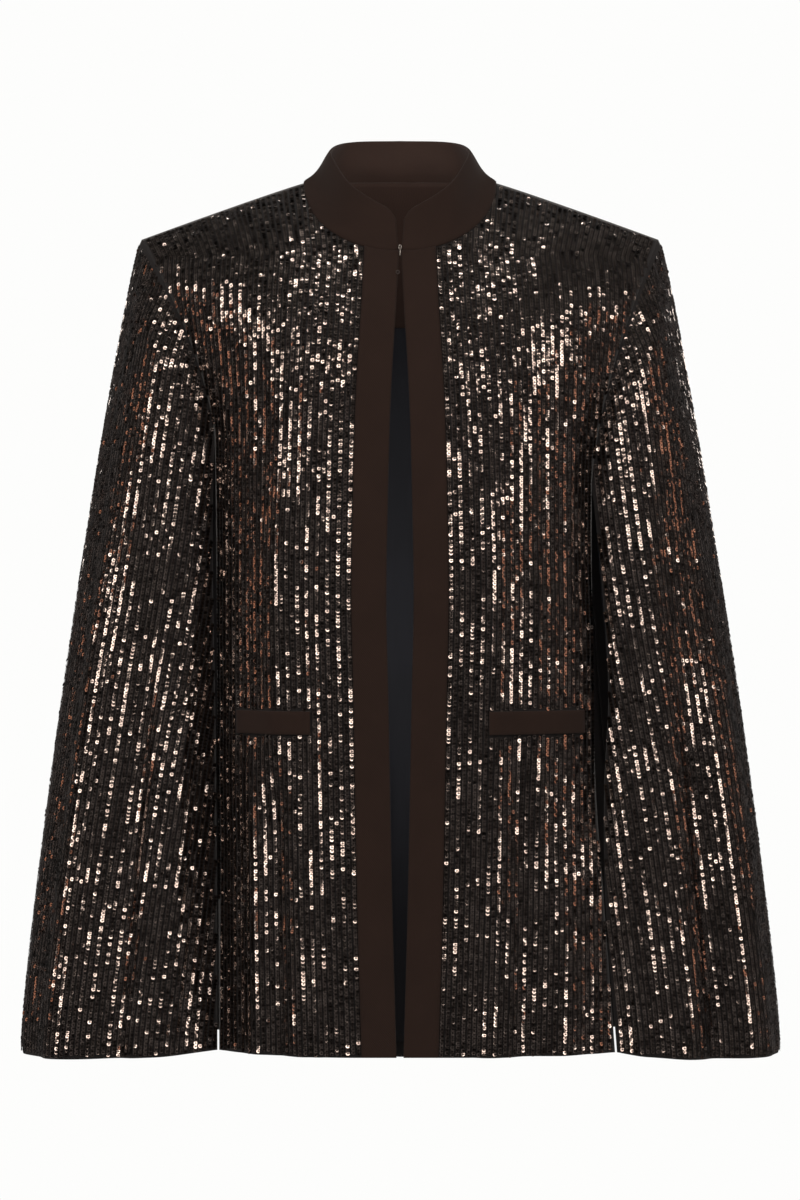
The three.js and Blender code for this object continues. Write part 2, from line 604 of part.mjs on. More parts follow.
// The collar runs from one front end, round the back of the neck, to the other
const endAngle = THREE.MathUtils.radToDeg(Math.asin(COLLAR_GAP / (NECK_WIDTH / 2)));
const bandAngle = angleAt(CENTRE_GAP[0].half + BAND_WIDTH / 2);
const halfAngles = [
  ...stations([endAngle, bandAngle, frontNeckAngles[0]], [3, 2]),
  ...frontNeckAngles.slice(1),
  ...backNeckAngles.slice(0, -1).reverse(),
];
const leftToRight = [...halfAngles, ...halfAngles.slice(0, -1).reverse().map((angle) => -angle)];
const collarUps = stations([1, 0], [COLLAR_ROWS]);
const collar = sheet(collarUps.map((up) => leftToRight.map((angle) => collarPoint(angle, up))));
faceNeck(collar, rowCells(COLLAR_ROWS, 0, leftToRight.length - 1));
jacket.add(wall('collar', collar, brownTwill, -COLLAR_CLOTH / 2, COLLAR_CLOTH / 2));

jacket.add(ring('eye', EYE, steelWire));
const eyeFoot = EYE.z - EYE.radius * EYE.stretch;
jacket.add(wire('hook', [
  [0, EYE.y - HOOK_DEPTH, eyeFoot - 5],
  [0, EYE.y - HOOK_DEPTH, eyeFoot - 1],
  [0, EYE.y, eyeFoot + 1.4],
  [0, EYE.y + HOOK_DEPTH, eyeFoot - 0.5],
], WIRE, steelWire));
const { level, radius: loopRadius, wire: loopWire, stand } = THREAD_LOOP;
const loopSeat = frontPoint(SIDES.right, -1, level);
const loopPlace = { x: loopSeat.x, y: loopSeat.y - BAND_CLOTH / 2 - loopWire - stand, z: loopSeat.z };
jacket.add(ring('thread_loop', { ...loopPlace, radius: loopRadius, wire: loopWire }, blackThread));

export default jacket;
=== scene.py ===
import math

import bpy
import numpy as np
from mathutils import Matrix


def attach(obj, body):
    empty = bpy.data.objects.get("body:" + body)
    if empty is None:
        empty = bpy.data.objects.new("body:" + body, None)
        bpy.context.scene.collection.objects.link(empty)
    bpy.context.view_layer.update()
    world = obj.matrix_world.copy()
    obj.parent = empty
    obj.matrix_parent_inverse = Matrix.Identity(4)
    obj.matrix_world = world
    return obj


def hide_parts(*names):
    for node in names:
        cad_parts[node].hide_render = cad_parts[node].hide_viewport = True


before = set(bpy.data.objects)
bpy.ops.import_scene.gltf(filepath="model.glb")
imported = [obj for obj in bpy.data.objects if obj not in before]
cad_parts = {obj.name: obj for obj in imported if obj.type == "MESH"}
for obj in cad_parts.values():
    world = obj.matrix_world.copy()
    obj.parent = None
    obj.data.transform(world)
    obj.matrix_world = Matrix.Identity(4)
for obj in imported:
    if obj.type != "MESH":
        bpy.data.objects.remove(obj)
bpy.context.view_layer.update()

# Camera, light and floor
# The blazer hangs in the air at breast height, seen level from three metres. Softboxes stand round
# it in a dark room, so that most sequins mirror the dark and the few that face a lamp flash.
CAMERA_DISTANCE = 3.0
CAMERA_HEIGHT = -0.347
PICTURE_HEIGHT = 0.9984
SENSOR = 36
BACKGROUND = "FDFDFC"
ROOM = "4E4B4A"
CEILING = "504E4C"
FILL = "8C8A88"
KEY_POWER = 31
FLOOR_HEIGHT = -1.25
FLOOR_RADIUS = 2.2


def linear(colour):
    """sRGB hex digits as linear red, green, blue and alpha."""
    tone = np.array([int(colour[i:i + 2], 16) / 255 for i in (0, 2, 4)])
    tone = np.where(tone <= 0.04045, tone / 12.92, ((tone + 0.055) / 1.055) ** 2.4)
    return (*tone, 1.0)


def first(source):
    """A node's first output, or the socket itself."""
    return getattr(source, "outputs", [source])[0]


def node(tree, kind, links=(), **settings):
    """Adds a shader node of a kind named without ShaderNode.

    links gives (input, socket or node) pairs, where a node stands for its first output. Settings
    are inputs, by in_ and a number or name, or else the node's own attributes.
    """
    made = tree.nodes.new("ShaderNode" + kind)
    for name, value in settings.items():
        if name.startswith("in_"):
            key = name[3:].replace("_", " ")
            made.inputs[int(key) if key.isdigit() else key].default_value = value
        else:
            setattr(made, name, value)
    for name, source in links:
        tree.links.new(first(source), made.inputs[name])
    return made


def remap(tree, value, low, high, to_low=0, to_high=1):
    """A value between low and high carried to between to_low and to_high."""
    return node(tree, "MapRange", [("Value", value)], in_1=low, in_2=high, in_3=to_low, in_4=to_high)


def blend(tree, factor, low, high):
    """The colour between two sRGB hex colours that a factor picks."""
    return node(tree, "Mix", [("Factor", factor)], data_type="RGBA", in_6=linear(low),
                in_7=linear(high)).outputs[2]


def blank(name, **settings):
    """A new material, its tree and its shader, whose inputs are set by name, with _ for a space."""
    made = bpy.data.materials.new(name)
    made.use_nodes = True
    shader = made.node_tree.nodes["Principled BSDF"]
    for key, value in settings.items():
        shader.inputs[key.replace("_", " ")].default_value = value
    return made, made.node_tree, shader


def table_rows(columns, *values):
    """A table's rows as dictionaries, from the names of its columns and a tuple for each row."""
    return [dict(zip(columns.split(), row)) for row in values]


def placed(name, data):
    """A new object in the scene that shows a camera, lamp or mesh."""
    made = bpy.data.objects.new(name, data)
    bpy.context.collection.objects.link(made)
    return made


def area_lamp(name, place, aim, box, colour, mirrored):
    """Adds a rectangular lamp at a place, turned to aim. The camera never sees it."""
    light = bpy.data.lights.new(name, "AREA")
    light.shape = "RECTANGLE"
    light.size, light.size_y = box["width"], box["height"]
    light.energy = box["power"]
    light.color = linear(colour)[:3]
    stand = placed(name, light)
    stand.location = place
    stand.rotation_euler = aim
    stand.visible_camera = False
    stand.visible_glossy = mirrored


camera_data = bpy.data.cameras.new("camera")
camera_data.sensor_width = SENSOR
camera_data.lens = SENSOR * CAMERA_DISTANCE / PICTURE_HEIGHT
camera = placed("camera", camera_data)
camera.location = (0, -CAMERA_DISTANCE, CAMERA_HEIGHT)
camera.rotation_euler = (math.pi / 2, 0, 0)
bpy.context.scene.camera = camera
bpy.context.scene.view_settings.view_transform = "Standard"

world = bpy.data.worlds.new("room")
world.use_nodes = True
bpy.context.scene.world = world
room = world.node_tree
room.nodes.clear()
# The camera sees a pale wall, matt cloth is lit by an even fill, and mirrors see a dark room whose
# ceiling is a little lighter and whose walls are uneven
seen = node(room, "Background", in_Color=linear(BACKGROUND))
fill = node(room, "Background", in_Color=linear(FILL))
way = node(room, "TexCoord")
height = node(room, "SeparateXYZ", [(0, way.outputs["Generated"])])
rise = node(room, "MapRange", [("Value", height.outputs["Z"])], interpolation_type="SMOOTHSTEP",
            in_1=0.35, in_2=0.95)
tone = blend(room, rise, ROOM, CEILING)
uneven = node(room, "TexNoise", [("Vector", way.outputs["Generated"])], in_Scale=7.0, in_Detail=1.0)
strength = remap(room, uneven, 0.35, 0.65, 0.1, 1.9)
dark = node(room, "Background", [("Color", tone), ("Strength", strength)])
path = node(room, "LightPath")
lit = node(room, "MixShader", [(0, path.outputs["Is Diffuse Ray"]), (1, dark), (2, fill)])
both = node(room, "MixShader", [(0, path.outputs["Is Camera Ray"]), (1, lit), (2, seen)])
node(room, "OutputWorld", [("Surface", both)])

# Each softbox: the way it stands from the blazer (0 is the front, 90 the wearer's left), its height
# above the blazer's middle in degrees, distance, width and height in metres, power, colour and
# whether sequins mirror it. The last is the broad key light for the matt cloth.
SOFTBOXES = table_rows(
    "turn lift away width height power colour mirrored",
    (-56, 18, 2.6, 0.5, 1.4, 9.5, "FFF3EA", True),
    (52, 20, 2.6, 0.5, 1.4, 9.5, "FFF3EA", True),
    (-7, 22, 2.8, 1.2, 0.42, 7, "FFF3EA", True),
    (-24, 34, 2.8, 0.4, 0.4, 2.6, "FFF3EA", True),
    (20, 36, 2.8, 0.4, 0.4, 2.6, "FFF3EA", True),
    (-30, 68, 2.6, 0.4, 0.3, 2.8, "FFF6F0", True),
    (35, 78, 2.6, 0.3, 0.3, 2.2, "FFF6F0", True),
    (0, 84, 2.6, 1, 0.7, 0.6, "FFF6F0", True),
    (72, 14, 2.4, 0.24, 0.7, 0.5, "FFB48E", True),
    (-72, 14, 2.4, 0.24, 0.7, 0.5, "FFB48E", True),
    (98, 10, 2.4, 0.24, 1, 0.7, "FFB48E", True),
    (-98, 10, 2.4, 0.24, 1, 0.7, "FFB48E", True),
    (156, 22, 2.8, 0.34, 1.4, 6.8, "FFF3EA", True),
    (202, 18, 2.8, 0.34, 1.4, 6.8, "FFF3EA", True),
    (180, 48, 2.8, 0.3, 0.6, 3, "FFF6F0", True),
    (0, 28, 2.6, 1.2, 1.2, KEY_POWER, "FFFAF6", False),
)
for number, box in enumerate(SOFTBOXES):
    turn, lift = math.radians(box["turn"]), math.radians(box["lift"])
    place = (
        box["away"] * math.sin(turn) * math.cos(lift),
        -box["away"] * math.cos(turn) * math.cos(lift),
        CAMERA_HEIGHT + box["away"] * math.sin(lift),
    )
    area_lamp(f"softbox_{number}", place, (math.pi / 2 - lift, 0, turn), box,
              box["colour"], box["mirrored"])

# Two small lamps inside the blazer light the back of the neck and the lining
INNER_LAMPS = table_rows(
    "place width height power",
    ((0, -0.01, 0.02), 0.07, 0.03, 0.045),
    ((0, -0.04, -0.36), 0.05, 0.4, 0.38),
)
for number, box in enumerate(INNER_LAMPS):
    area_lamp(f"inner_lamp_{number}", box["place"], (math.pi / 2, 0, 0), box, "FFFFFF", False)

round_floor = np.linspace(0, 2 * np.pi, 96, endpoint=False)
floor_mesh = bpy.data.meshes.new("floor")
floor_mesh.from_pydata(
    [(FLOOR_RADIUS * math.cos(a), FLOOR_RADIUS * math.sin(a), FLOOR_HEIGHT) for a in round_floor],
    [], [tuple(range(len(round_floor)))])
floor_mesh.materials.append(
    blank("pale floor paint", Base_Color=linear("E6E4E1"), Roughness=0.8)[0])
floor = placed("floor", floor_mesh)
floor.visible_glossy = False

# The blazer's form
# The cut as worn, in millimetres: the front faces -Y, +X is the wearer's left, and z = 0 is the
# height of the side neck points. Panels are surfaces of a column across and a level down.
MM = 0.001
SHOULDER_WIDTH = 430
SHOULDER_DROP = 47
SHOULDER_CURVE = 1.05
SHOULDER_SEAM_BACK = 3
NECK_WIDTH = 158
NECK_FRONT_DEPTH = 80
NECK_BACK_DEPTH = 64
NECK_FRONT_SLOPE = 0.8
NECK_BACK_RISE = 8
NECK_SOFTENING = 110
SOFTEST = 30
CENTRE_ROUNDING = 1.7
NECK_ROUNDING = 3
TIP_ROUNDING = 5
HEM_Z = -713
BACK_HEM_DROP = 29
ARMHOLE_CURVE = 1.6
ARMHOLE_CROWDING = 1.25
FRONT_FULLNESS = 2.2
BACK_FULLNESS = 2.4
CLOTH = 2
SEAM = 0.3
FOLD_FADE = 120
FOLD_END_FADE = 80
FOLD = "column hem_column top end width height"
CREASE = FOLD + " fade"
SLEEVE_FOLD = "column hem_column start width height"

BODY_DEPTH = dict(
    z=[-221, -300, -400, -560, HEM_Z],
    front=[126, 127, 122, 119, 118],
    back=[112, 107, 102, 108, 118],
)


def read(table, key, place, column):
    """A smooth cubic through a table's rows at a place along its key, held level past both ends."""
    at = np.array(table[key], float)
    value = np.array(table[column], float)
    rising = np.sign(at[-1] - at[0])
    at = at * rising
    place = np.clip(np.asarray(place, float) * rising, at[0], at[-1])
    row = np.arange(len(at))
    low, high = np.maximum(row - 1, 0), np.minimum(row + 1, len(at) - 1)
    slope = (value[high] - value[low]) / (at[high] - at[low])
    i = np.clip(np.searchsorted(at, place, side="right") - 1, 0, len(at) - 2)
    span = at[i + 1] - at[i]
    t = (place - at[i]) / span
    bend = t * (1 - t) * span * ((1 - t) * slope[i] - t * slope[i + 1])
    return value[i] + (value[i + 1] - value[i]) * t * t * (3 - 2 * t) + bend


def ease(t):
    """0 below 0, 1 above 1, and a smooth step between."""
    t = np.clip(t, 0, 1)
    return t * t * (3 - 2 * t)


def top_edge(x, is_front, level=0):
    """A panel's upper edge at x from the centre: the neck seam, then the sloping shoulder seam.

    Below the seam the neck's half ellipse is averaged over a width that grows with the level, so
    that the cloth turns the corner between neck and shoulder without a crease.
    """
    soft = 0.0001 + np.minimum(NECK_SOFTENING * np.clip(level, 0, 1), SOFTEST)

    def ellipse_area(x):
        share = np.clip(2 * x / NECK_WIDTH, -1, 1)
        return NECK_WIDTH / 4 * (share * np.sqrt(1 - share ** 2) + np.arcsin(share))

    reach = (ellipse_area(x + soft) - ellipse_area(x - soft)) / (2 * soft)
    out = np.maximum(x - NECK_WIDTH / 2, 0) / ((SHOULDER_WIDTH - NECK_WIDTH) / 2)
    y, z = (-NECK_FRONT_DEPTH, -NECK_FRONT_SLOPE * NECK_FRONT_DEPTH) if is_front else (
        NECK_BACK_DEPTH, NECK_BACK_RISE)
    return y * reach + SHOULDER_SEAM_BACK * out, z * reach - SHOULDER_DROP * out ** SHOULDER_CURVE


def drape(x, level, z, is_front, depth, underarm):
    """A panel's depth at a height z: from its upper edge out to the depth at the underarm."""
    top_y, top_z = top_edge(x, is_front, level)
    share = rounded_share(np.maximum(top_z - z, 0) / (top_z - underarm), x)
    return top_y + (depth - top_y) * share


def armhole_x(level, underarm_x):
    """The armhole's distance from the centre: a curve in from the shoulder tip to the underarm."""
    return underarm_x + (SHOULDER_WIDTH / 2 - underarm_x) * (1 - np.clip(level, 0, 1)) ** ARMHOLE_CURVE


def level_at(z, top_z, underarm, hem_z):
    """The level of a height: 0 at the upper edge, 1 at the underarm, 2 at the hem, even between."""
    return np.where(z > underarm, (top_z - z) / (top_z - underarm), 1 + (underarm - z) / (underarm - hem_z))


def height_at(level, top_z, underarm, hem_z):
    """The height of a level, the other way round."""
    upper = top_z + (underarm - top_z) * level
    return np.where(level < 1, upper, underarm + (hem_z - underarm) * (level - 1))


def rounded_share(level, top_x):
    """How far the body has come out from its upper edge: 1 - (1 - level) to a power set by x."""
    to_neck = np.clip(2 * top_x / NECK_WIDTH, 0, 1)
    to_tip = np.clip((2 * top_x - NECK_WIDTH) / (SHOULDER_WIDTH - NECK_WIDTH), 0, 1)
    power = CENTRE_ROUNDING + (NECK_ROUNDING - CENTRE_ROUNDING) * to_neck
    power = power + (TIP_ROUNDING - NECK_ROUNDING) * to_tip
    return 1 - (1 - np.clip(level, 0, 1)) ** power


def fold_height(folds, column, z):
    """The sum of the folds: each a soft ridge along a line, fading in at its ends."""
    height = 0
    for fold in folds:
        centre = fold["column"] + (fold["hem_column"] - fold["column"]) * np.clip(z / HEM_Z, 0, 1)
        fade = fold.get("fade", FOLD_FADE)
        run = ease((fold["top"] - z) / fade) * ease((z - fold["end"]) / FOLD_END_FADE)
        height = height + fold["height"] * run * np.exp(-((column - centre) / fold["width"]) ** 2)
    return height


# Fronts: sequinned cloth
# Polyester mesh with strings of flat sequins chain-stitched to it from top to hem, 4.3 mm apart,
# laid down and up the cloth in turn. Each front is one panel; its side edge is free below the arm.
BAND_WIDTH = 28
SEQUIN_RADIUS = 1.95
SEQUIN_PITCH = 2.95
STRING_SPACING = 4.3
SEQUIN_LEAN = 0.17
UPWARD_LEAN = -0.1
SEQUIN_CUP = 0.09
SEQUIN_STAND = 0.75
STAND_SPREAD = 0.1
COLUMN_STEP = 0.004
RUN_SCATTER = 0.055
SINGLE_SCATTER = 0.04
LOOSE_SCATTER = 0.13
LOOSE_SHARE = 0.25
LEVEL_LOOSENESS = 1.5
STRING_TWIST = 0.03
EDGE_MARGIN = 1.3
WELT_MARGIN = 1.5
WELT_END_MARGIN = 0.01
TOP_MARGIN = 0.008
TINTS = 4
CELL_REACH = 0.47
WELT_TOP = -436
WELT_BOTTOM = -455

CENTRE_GAP = dict(
    z=[-66, -106, -186, -258, -347, -427, -588, HEM_Z],
    half=[1.0, 3.0, 7.4, 9.4, 10.8, 9.2, 6.2, 2.8],
)
BAND_TOP = CENTRE_GAP["half"][0] + BAND_WIDTH

SIDES = {
    "right": dict(
        sign=-1,
        slit=dict(
            z=[-221, -300, -440, -588, HEM_Z],
            x=[151, 150, 149, 148, 147],
            depth=[58, 56, 54, 58, 66],
            gap=[0.6, 3.2, 2, 1.4, 1.6],
        ),
        front_folds=table_rows(FOLD,
            (0.52, 0.6, -200, -520, 0.11, 5),
            (0.72, 0.74, -420, -900, 0.08, 5),
            (0.45, 0.42, -430, -900, 0.08, 4),
        ),
        front_creases=table_rows(CREASE,
            (0.16, 0.2, -80, -330, 0.05, 1.6, 60),
            (0.33, 0.3, -90, -300, 0.04, 1.5, 60),
            (0.62, 0.6, -110, -340, 0.05, -1.8, 60),
            (0.9, 0.84, -150, -330, 0.05, 1.6, 50),
            (0.2, 0.23, -300, -640, 0.035, 1.3, 90),
            (0.38, 0.36, -260, -560, 0.03, -1.2, 90),
            (0.3, 0.3, -500, -900, 0.035, 1.6, 70),
            (0.58, 0.55, -470, -900, 0.035, -1.6, 70),
            (0.86, 0.88, -340, -900, 0.04, 1.4, 90),
        ),
        sleeve_folds=table_rows(SLEEVE_FOLD,
            (0.36, 0.34, 0.15, 0.04, 8),
            (0.24, 0.23, 0.3, 0.04, -9),
            (0.12, 0.12, 0.25, 0.04, 6),
            (0.66, 0.68, 0.2, 0.045, 8),
            (0.8, 0.82, 0.3, 0.045, -7),
        ),
        welt=dict(start=0.307, end=0.845),
    ),
    "left": dict(
        sign=1,
        slit=dict(
            z=[-258, -330, -420, -500, -588, HEM_Z],
            x=[156, 156, 157, 159, 165, 174],
            depth=[66, 66, 68, 70, 76, 82],
            gap=[0.6, 8, 12.5, 7, 1.6, 1.6],
        ),
        front_folds=table_rows(FOLD,
            (0.3, 0.3, -200, -900, 0.1, 5),
            (0.78, 0.72, -520, -900, 0.1, 5),
            (0.5, 0.5, -420, -900, 0.08, -3),
        ),
        front_creases=table_rows(CREASE,
            (0.12, 0.1, -80, -360, 0.045, 1.6, 60),
            (0.4, 0.42, -90, -280, 0.045, 1.8, 60),
            (0.66, 0.62, -110, -330, 0.05, -1.6, 60),
            (0.88, 0.8, -140, -380, 0.05, 1.5, 50),
            (0.22, 0.2, -420, -900, 0.03, -1.3, 90),
            (0.42, 0.4, -470, -900, 0.03, 1.5, 70),
            (0.62, 0.6, -260, -620, 0.04, 1.3, 90),
            (0.88, 0.9, -600, -900, 0.04, 1.5, 70),
        ),
        sleeve_folds=table_rows(SLEEVE_FOLD,
            (0.22, 0.2, 0.1, 0.04, 8),
            (0.31, 0.3, 0.35, 0.04, -8),
            (0.4, 0.4, 0.3, 0.04, 5),
            (0.68, 0.67, 0.2, 0.045, 7),
            (0.8, 0.8, 0.35, 0.045, -7),
        ),
        welt=dict(start=0.283, end=0.925),
    ),
}


def front_top(column):
    """The upper edge's x, y and z at a front's column; -1 is the band's inner edge, 0 its seam."""
    top_x = BAND_TOP + (SHOULDER_WIDTH / 2 - BAND_TOP) * np.maximum(column, 0)
    top_x = top_x + BAND_WIDTH * np.minimum(column, 0)
    return (top_x, *top_edge(top_x, True))


def front_level(side, column, z):
    """The level of a height at a front's column."""
    return level_at(z, front_top(column)[2], side["slit"]["z"][0], HEM_Z)


def front_surface(side, column, level, creased=True):
    """A front from the band's seam (column 0) to its side edge (1).

    Across, x runs evenly from the band's seam to the armhole or the free edge. The depth falls from
    the centre's to the edge's with a power of the column, and comes out from the upper edge by the
    rounded share; folds and creases stand forward.
    """
    column, level = np.broadcast_arrays(column, level)
    top_x, _, top_z = front_top(column)
    slit = side["slit"]
    underarm = slit["z"][0]
    z = height_at(level, top_z, underarm, HEM_Z)
    seam_x = read(CENTRE_GAP, "z", z, "half") + BAND_WIDTH
    edge_x = np.where(level < 1, armhole_x(level, slit["x"][0]), read(slit, "z", z, "x"))
    low_z = np.minimum(z, underarm)
    inner = np.maximum(column, 0)
    centre = read(BODY_DEPTH, "z", low_z, "front")
    depth = centre + (read(slit, "z", low_z, "depth") - centre) * inner ** FRONT_FULLNESS
    fold = fold_height(side["front_folds"], inner, z)
    if creased:
        fold = fold + fold_height(side["front_creases"], inner, z)
    y = drape(top_x, level, z, True, -depth, underarm) - fold
    x = seam_x + (edge_x - seam_x) * inner + BAND_WIDTH * np.minimum(column, 0)
    return np.stack([side["sign"] * x, y, z], -1)


def unit(vectors):
    """Vectors of length 1 along the given ones."""
    return vectors / np.linalg.norm(vectors, axis=-1, keepdims=True)


def facings(points, outward):
    """Unit normals of a grid of points, on the side that outward (x, y, z) points to."""
    normal = np.cross(np.gradient(points, axis=1), np.gradient(points, axis=0))
    normal /= np.linalg.norm(normal, axis=-1, keepdims=True) + 1e-12
    middle = normal[len(points) // 2, points.shape[1] // 2]
    return normal if middle @ np.array(outward) > 0 else -normal


def mapped_mesh(name, points, faces, map_name, places, material):
    """A smooth mesh on the body, from points in millimetres and the corners' places in a map."""
    mesh = bpy.data.meshes.new(name)
    mesh.from_pydata((points.reshape(-1, 3) * MM).tolist(), [], faces.tolist())
    mesh.polygons.foreach_set("use_smooth", np.ones(len(faces), bool))
    mesh.uv_layers.new(name=map_name).uv.foreach_set("vector", places.ravel())
    mesh.materials.append(material)
    mesh.update()
    made = placed(name, mesh)
    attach(made, "root")
    return made


def wall(name, points, outward, inside, outside, material):
    """A closed wall of cloth: the grid moved out by two distances, with a rim round its edges.

    Returns the object and the area of the cloth in square metres. The map "cloth" gives each
    point's distance across and down the panel in metres.
    """
    normal = facings(points, outward)
    rows, columns = points.shape[:2]
    inside, outside = (np.broadcast_to(d, (rows, columns))[..., None] for d in (inside, outside))
    shell = np.concatenate([points + normal * outside, points + normal * inside])
    index = np.arange(rows * columns).reshape(rows, columns)
    a, b, c, d = index[:-1, :-1], index[:-1, 1:], index[1:, 1:], index[1:, :-1]
    outer = np.stack([a, b, c, d], -1).reshape(-1, 4)
    border = np.concatenate([index[0, :-1], index[:-1, -1], index[-1, :0:-1], index[:0:-1, 0]])
    after = np.roll(border, -1)
    under = rows * columns
    rim = np.stack([after, border, border + under, after + under], -1)
    faces = np.concatenate([outer, outer[:, ::-1] + under, rim])
    if np.dot(np.cross(points[0, 1] - points[0, 0], points[1, 0] - points[0, 0]), normal[0, 0]) < 0:
        faces = faces[:, ::-1]
    across = np.linalg.norm(np.diff(points, axis=1, prepend=points[:, :1]), axis=-1).cumsum(1)
    down = np.linalg.norm(np.diff(points, axis=0, prepend=points[:1]), axis=-1).cumsum(0)
    flat = np.tile(np.stack([across, down], -1).reshape(-1, 2) * MM, (2, 1))
    panel = mapped_mesh(name, shell, faces, "cloth", flat[faces.ravel()], material)
    cell = np.cross(points[1:, 1:] - points[:-1, :-1], points[1:, :-1] - points[:-1, 1:])
    return panel, float(np.linalg.norm(cell, axis=-1).sum() / 2) * MM ** 2


def feed(shader, **sources):
    """Links sockets or nodes to a shader's inputs, by name, with _ for a space."""
    for name, source in sources.items():
        shader.id_data.links.new(first(source), shader.inputs[name.replace("_", " ")])


def sequin_film():
    """Vacuum-metallised PET film, punched and cupped: a rose-bronze mirror with a dark needle hole.

    The map gives each sequin one of the tints' cells: within a cell, the distance from the middle
    draws the hole, a painted shade that darkens the film to half near the hole and leaves it full at
    the rim, standing in for shade in the cup's hollow, and the round edge, past which the corners are
    as dark as the mesh. A narrow strip to one side is the stitch that holds it.
    """
    film, tree, shader = blank("metallised sequin film", Metallic=1.0, Roughness=0.12)
    place = node(tree, "UVMap", uv_map="OFBake")
    cells = node(tree, "VectorMath", [(0, place)], operation="SCALE", in_Scale=TINTS)
    cell = node(tree, "VectorMath", [(0, cells)], operation="FLOOR")
    within = node(tree, "VectorMath", [(0, cells)], operation="FRACTION")
    middle = node(tree, "VectorMath", [(0, within)], operation="SUBTRACT", in_1=(0.5, 0.5, 0))
    reach = node(tree, "VectorMath", [(0, middle)], operation="LENGTH")
    hole = remap(tree, reach.outputs["Value"], 0.125, 0.165)
    edge = remap(tree, reach.outputs["Value"], 0.4, 0.36)
    parts = node(tree, "SeparateXYZ", [(0, middle)])
    aside = node(tree, "Math", [(0, parts.outputs["X"])], operation="ABSOLUTE")
    other = node(tree, "Math", [(0, parts.outputs["Y"])], operation="MINIMUM", in_1=0.0)
    spread = node(tree, "Math", [(0, aside), (1, other)], operation="SUBTRACT")
    stitch = remap(tree, spread, 0.06, 0.09)
    # Painted shade: the film's colour falls to half towards the hole, as if the cup's hollow were shaded;
    # the hole, edge and stitch masks are multiplied in after
    film_and_painted_shade = remap(tree, reach.outputs["Value"], 0.15, 0.36, 0.5, 1)
    for mask in (hole, edge, stitch):
        film_and_painted_shade = node(tree, "Math", [(0, film_and_painted_shade), (1, mask)], operation="MULTIPLY")
    chance = node(tree, "TexWhiteNoise", [("Vector", cell)], noise_dimensions="2D")
    tint = blend(tree, chance, "948680", "D6C7BE")
    colour = node(tree, "Mix", [("Factor", film_and_painted_shade), (7, tint)], data_type="RGBA", in_6=linear("120E0D"))
    feed(shader, Base_Color=colour.outputs[2])
    return film


def mesh_ground():
    """Black polyester mesh under the sequins: matt, with the fine grain of a warp knit."""
    ground, tree, shader = blank("black polyester mesh", Roughness=0.75, Sheen_Weight=0.1)
    place = node(tree, "UVMap", uv_map="cloth")
    knit = node(tree, "TexVoronoi", [("Vector", place)], in_Scale=900.0)
    colour = blend(tree, knit, "171313", "0A0808")
    bump = node(tree, "Bump", [("Height", knit)], in_Strength=0.4, in_Distance=0.0002)
    feed(shader, Base_Color=colour, Normal=bump)
    return ground


SEQUIN_FILM = sequin_film()
MESH_GROUND = mesh_ground()


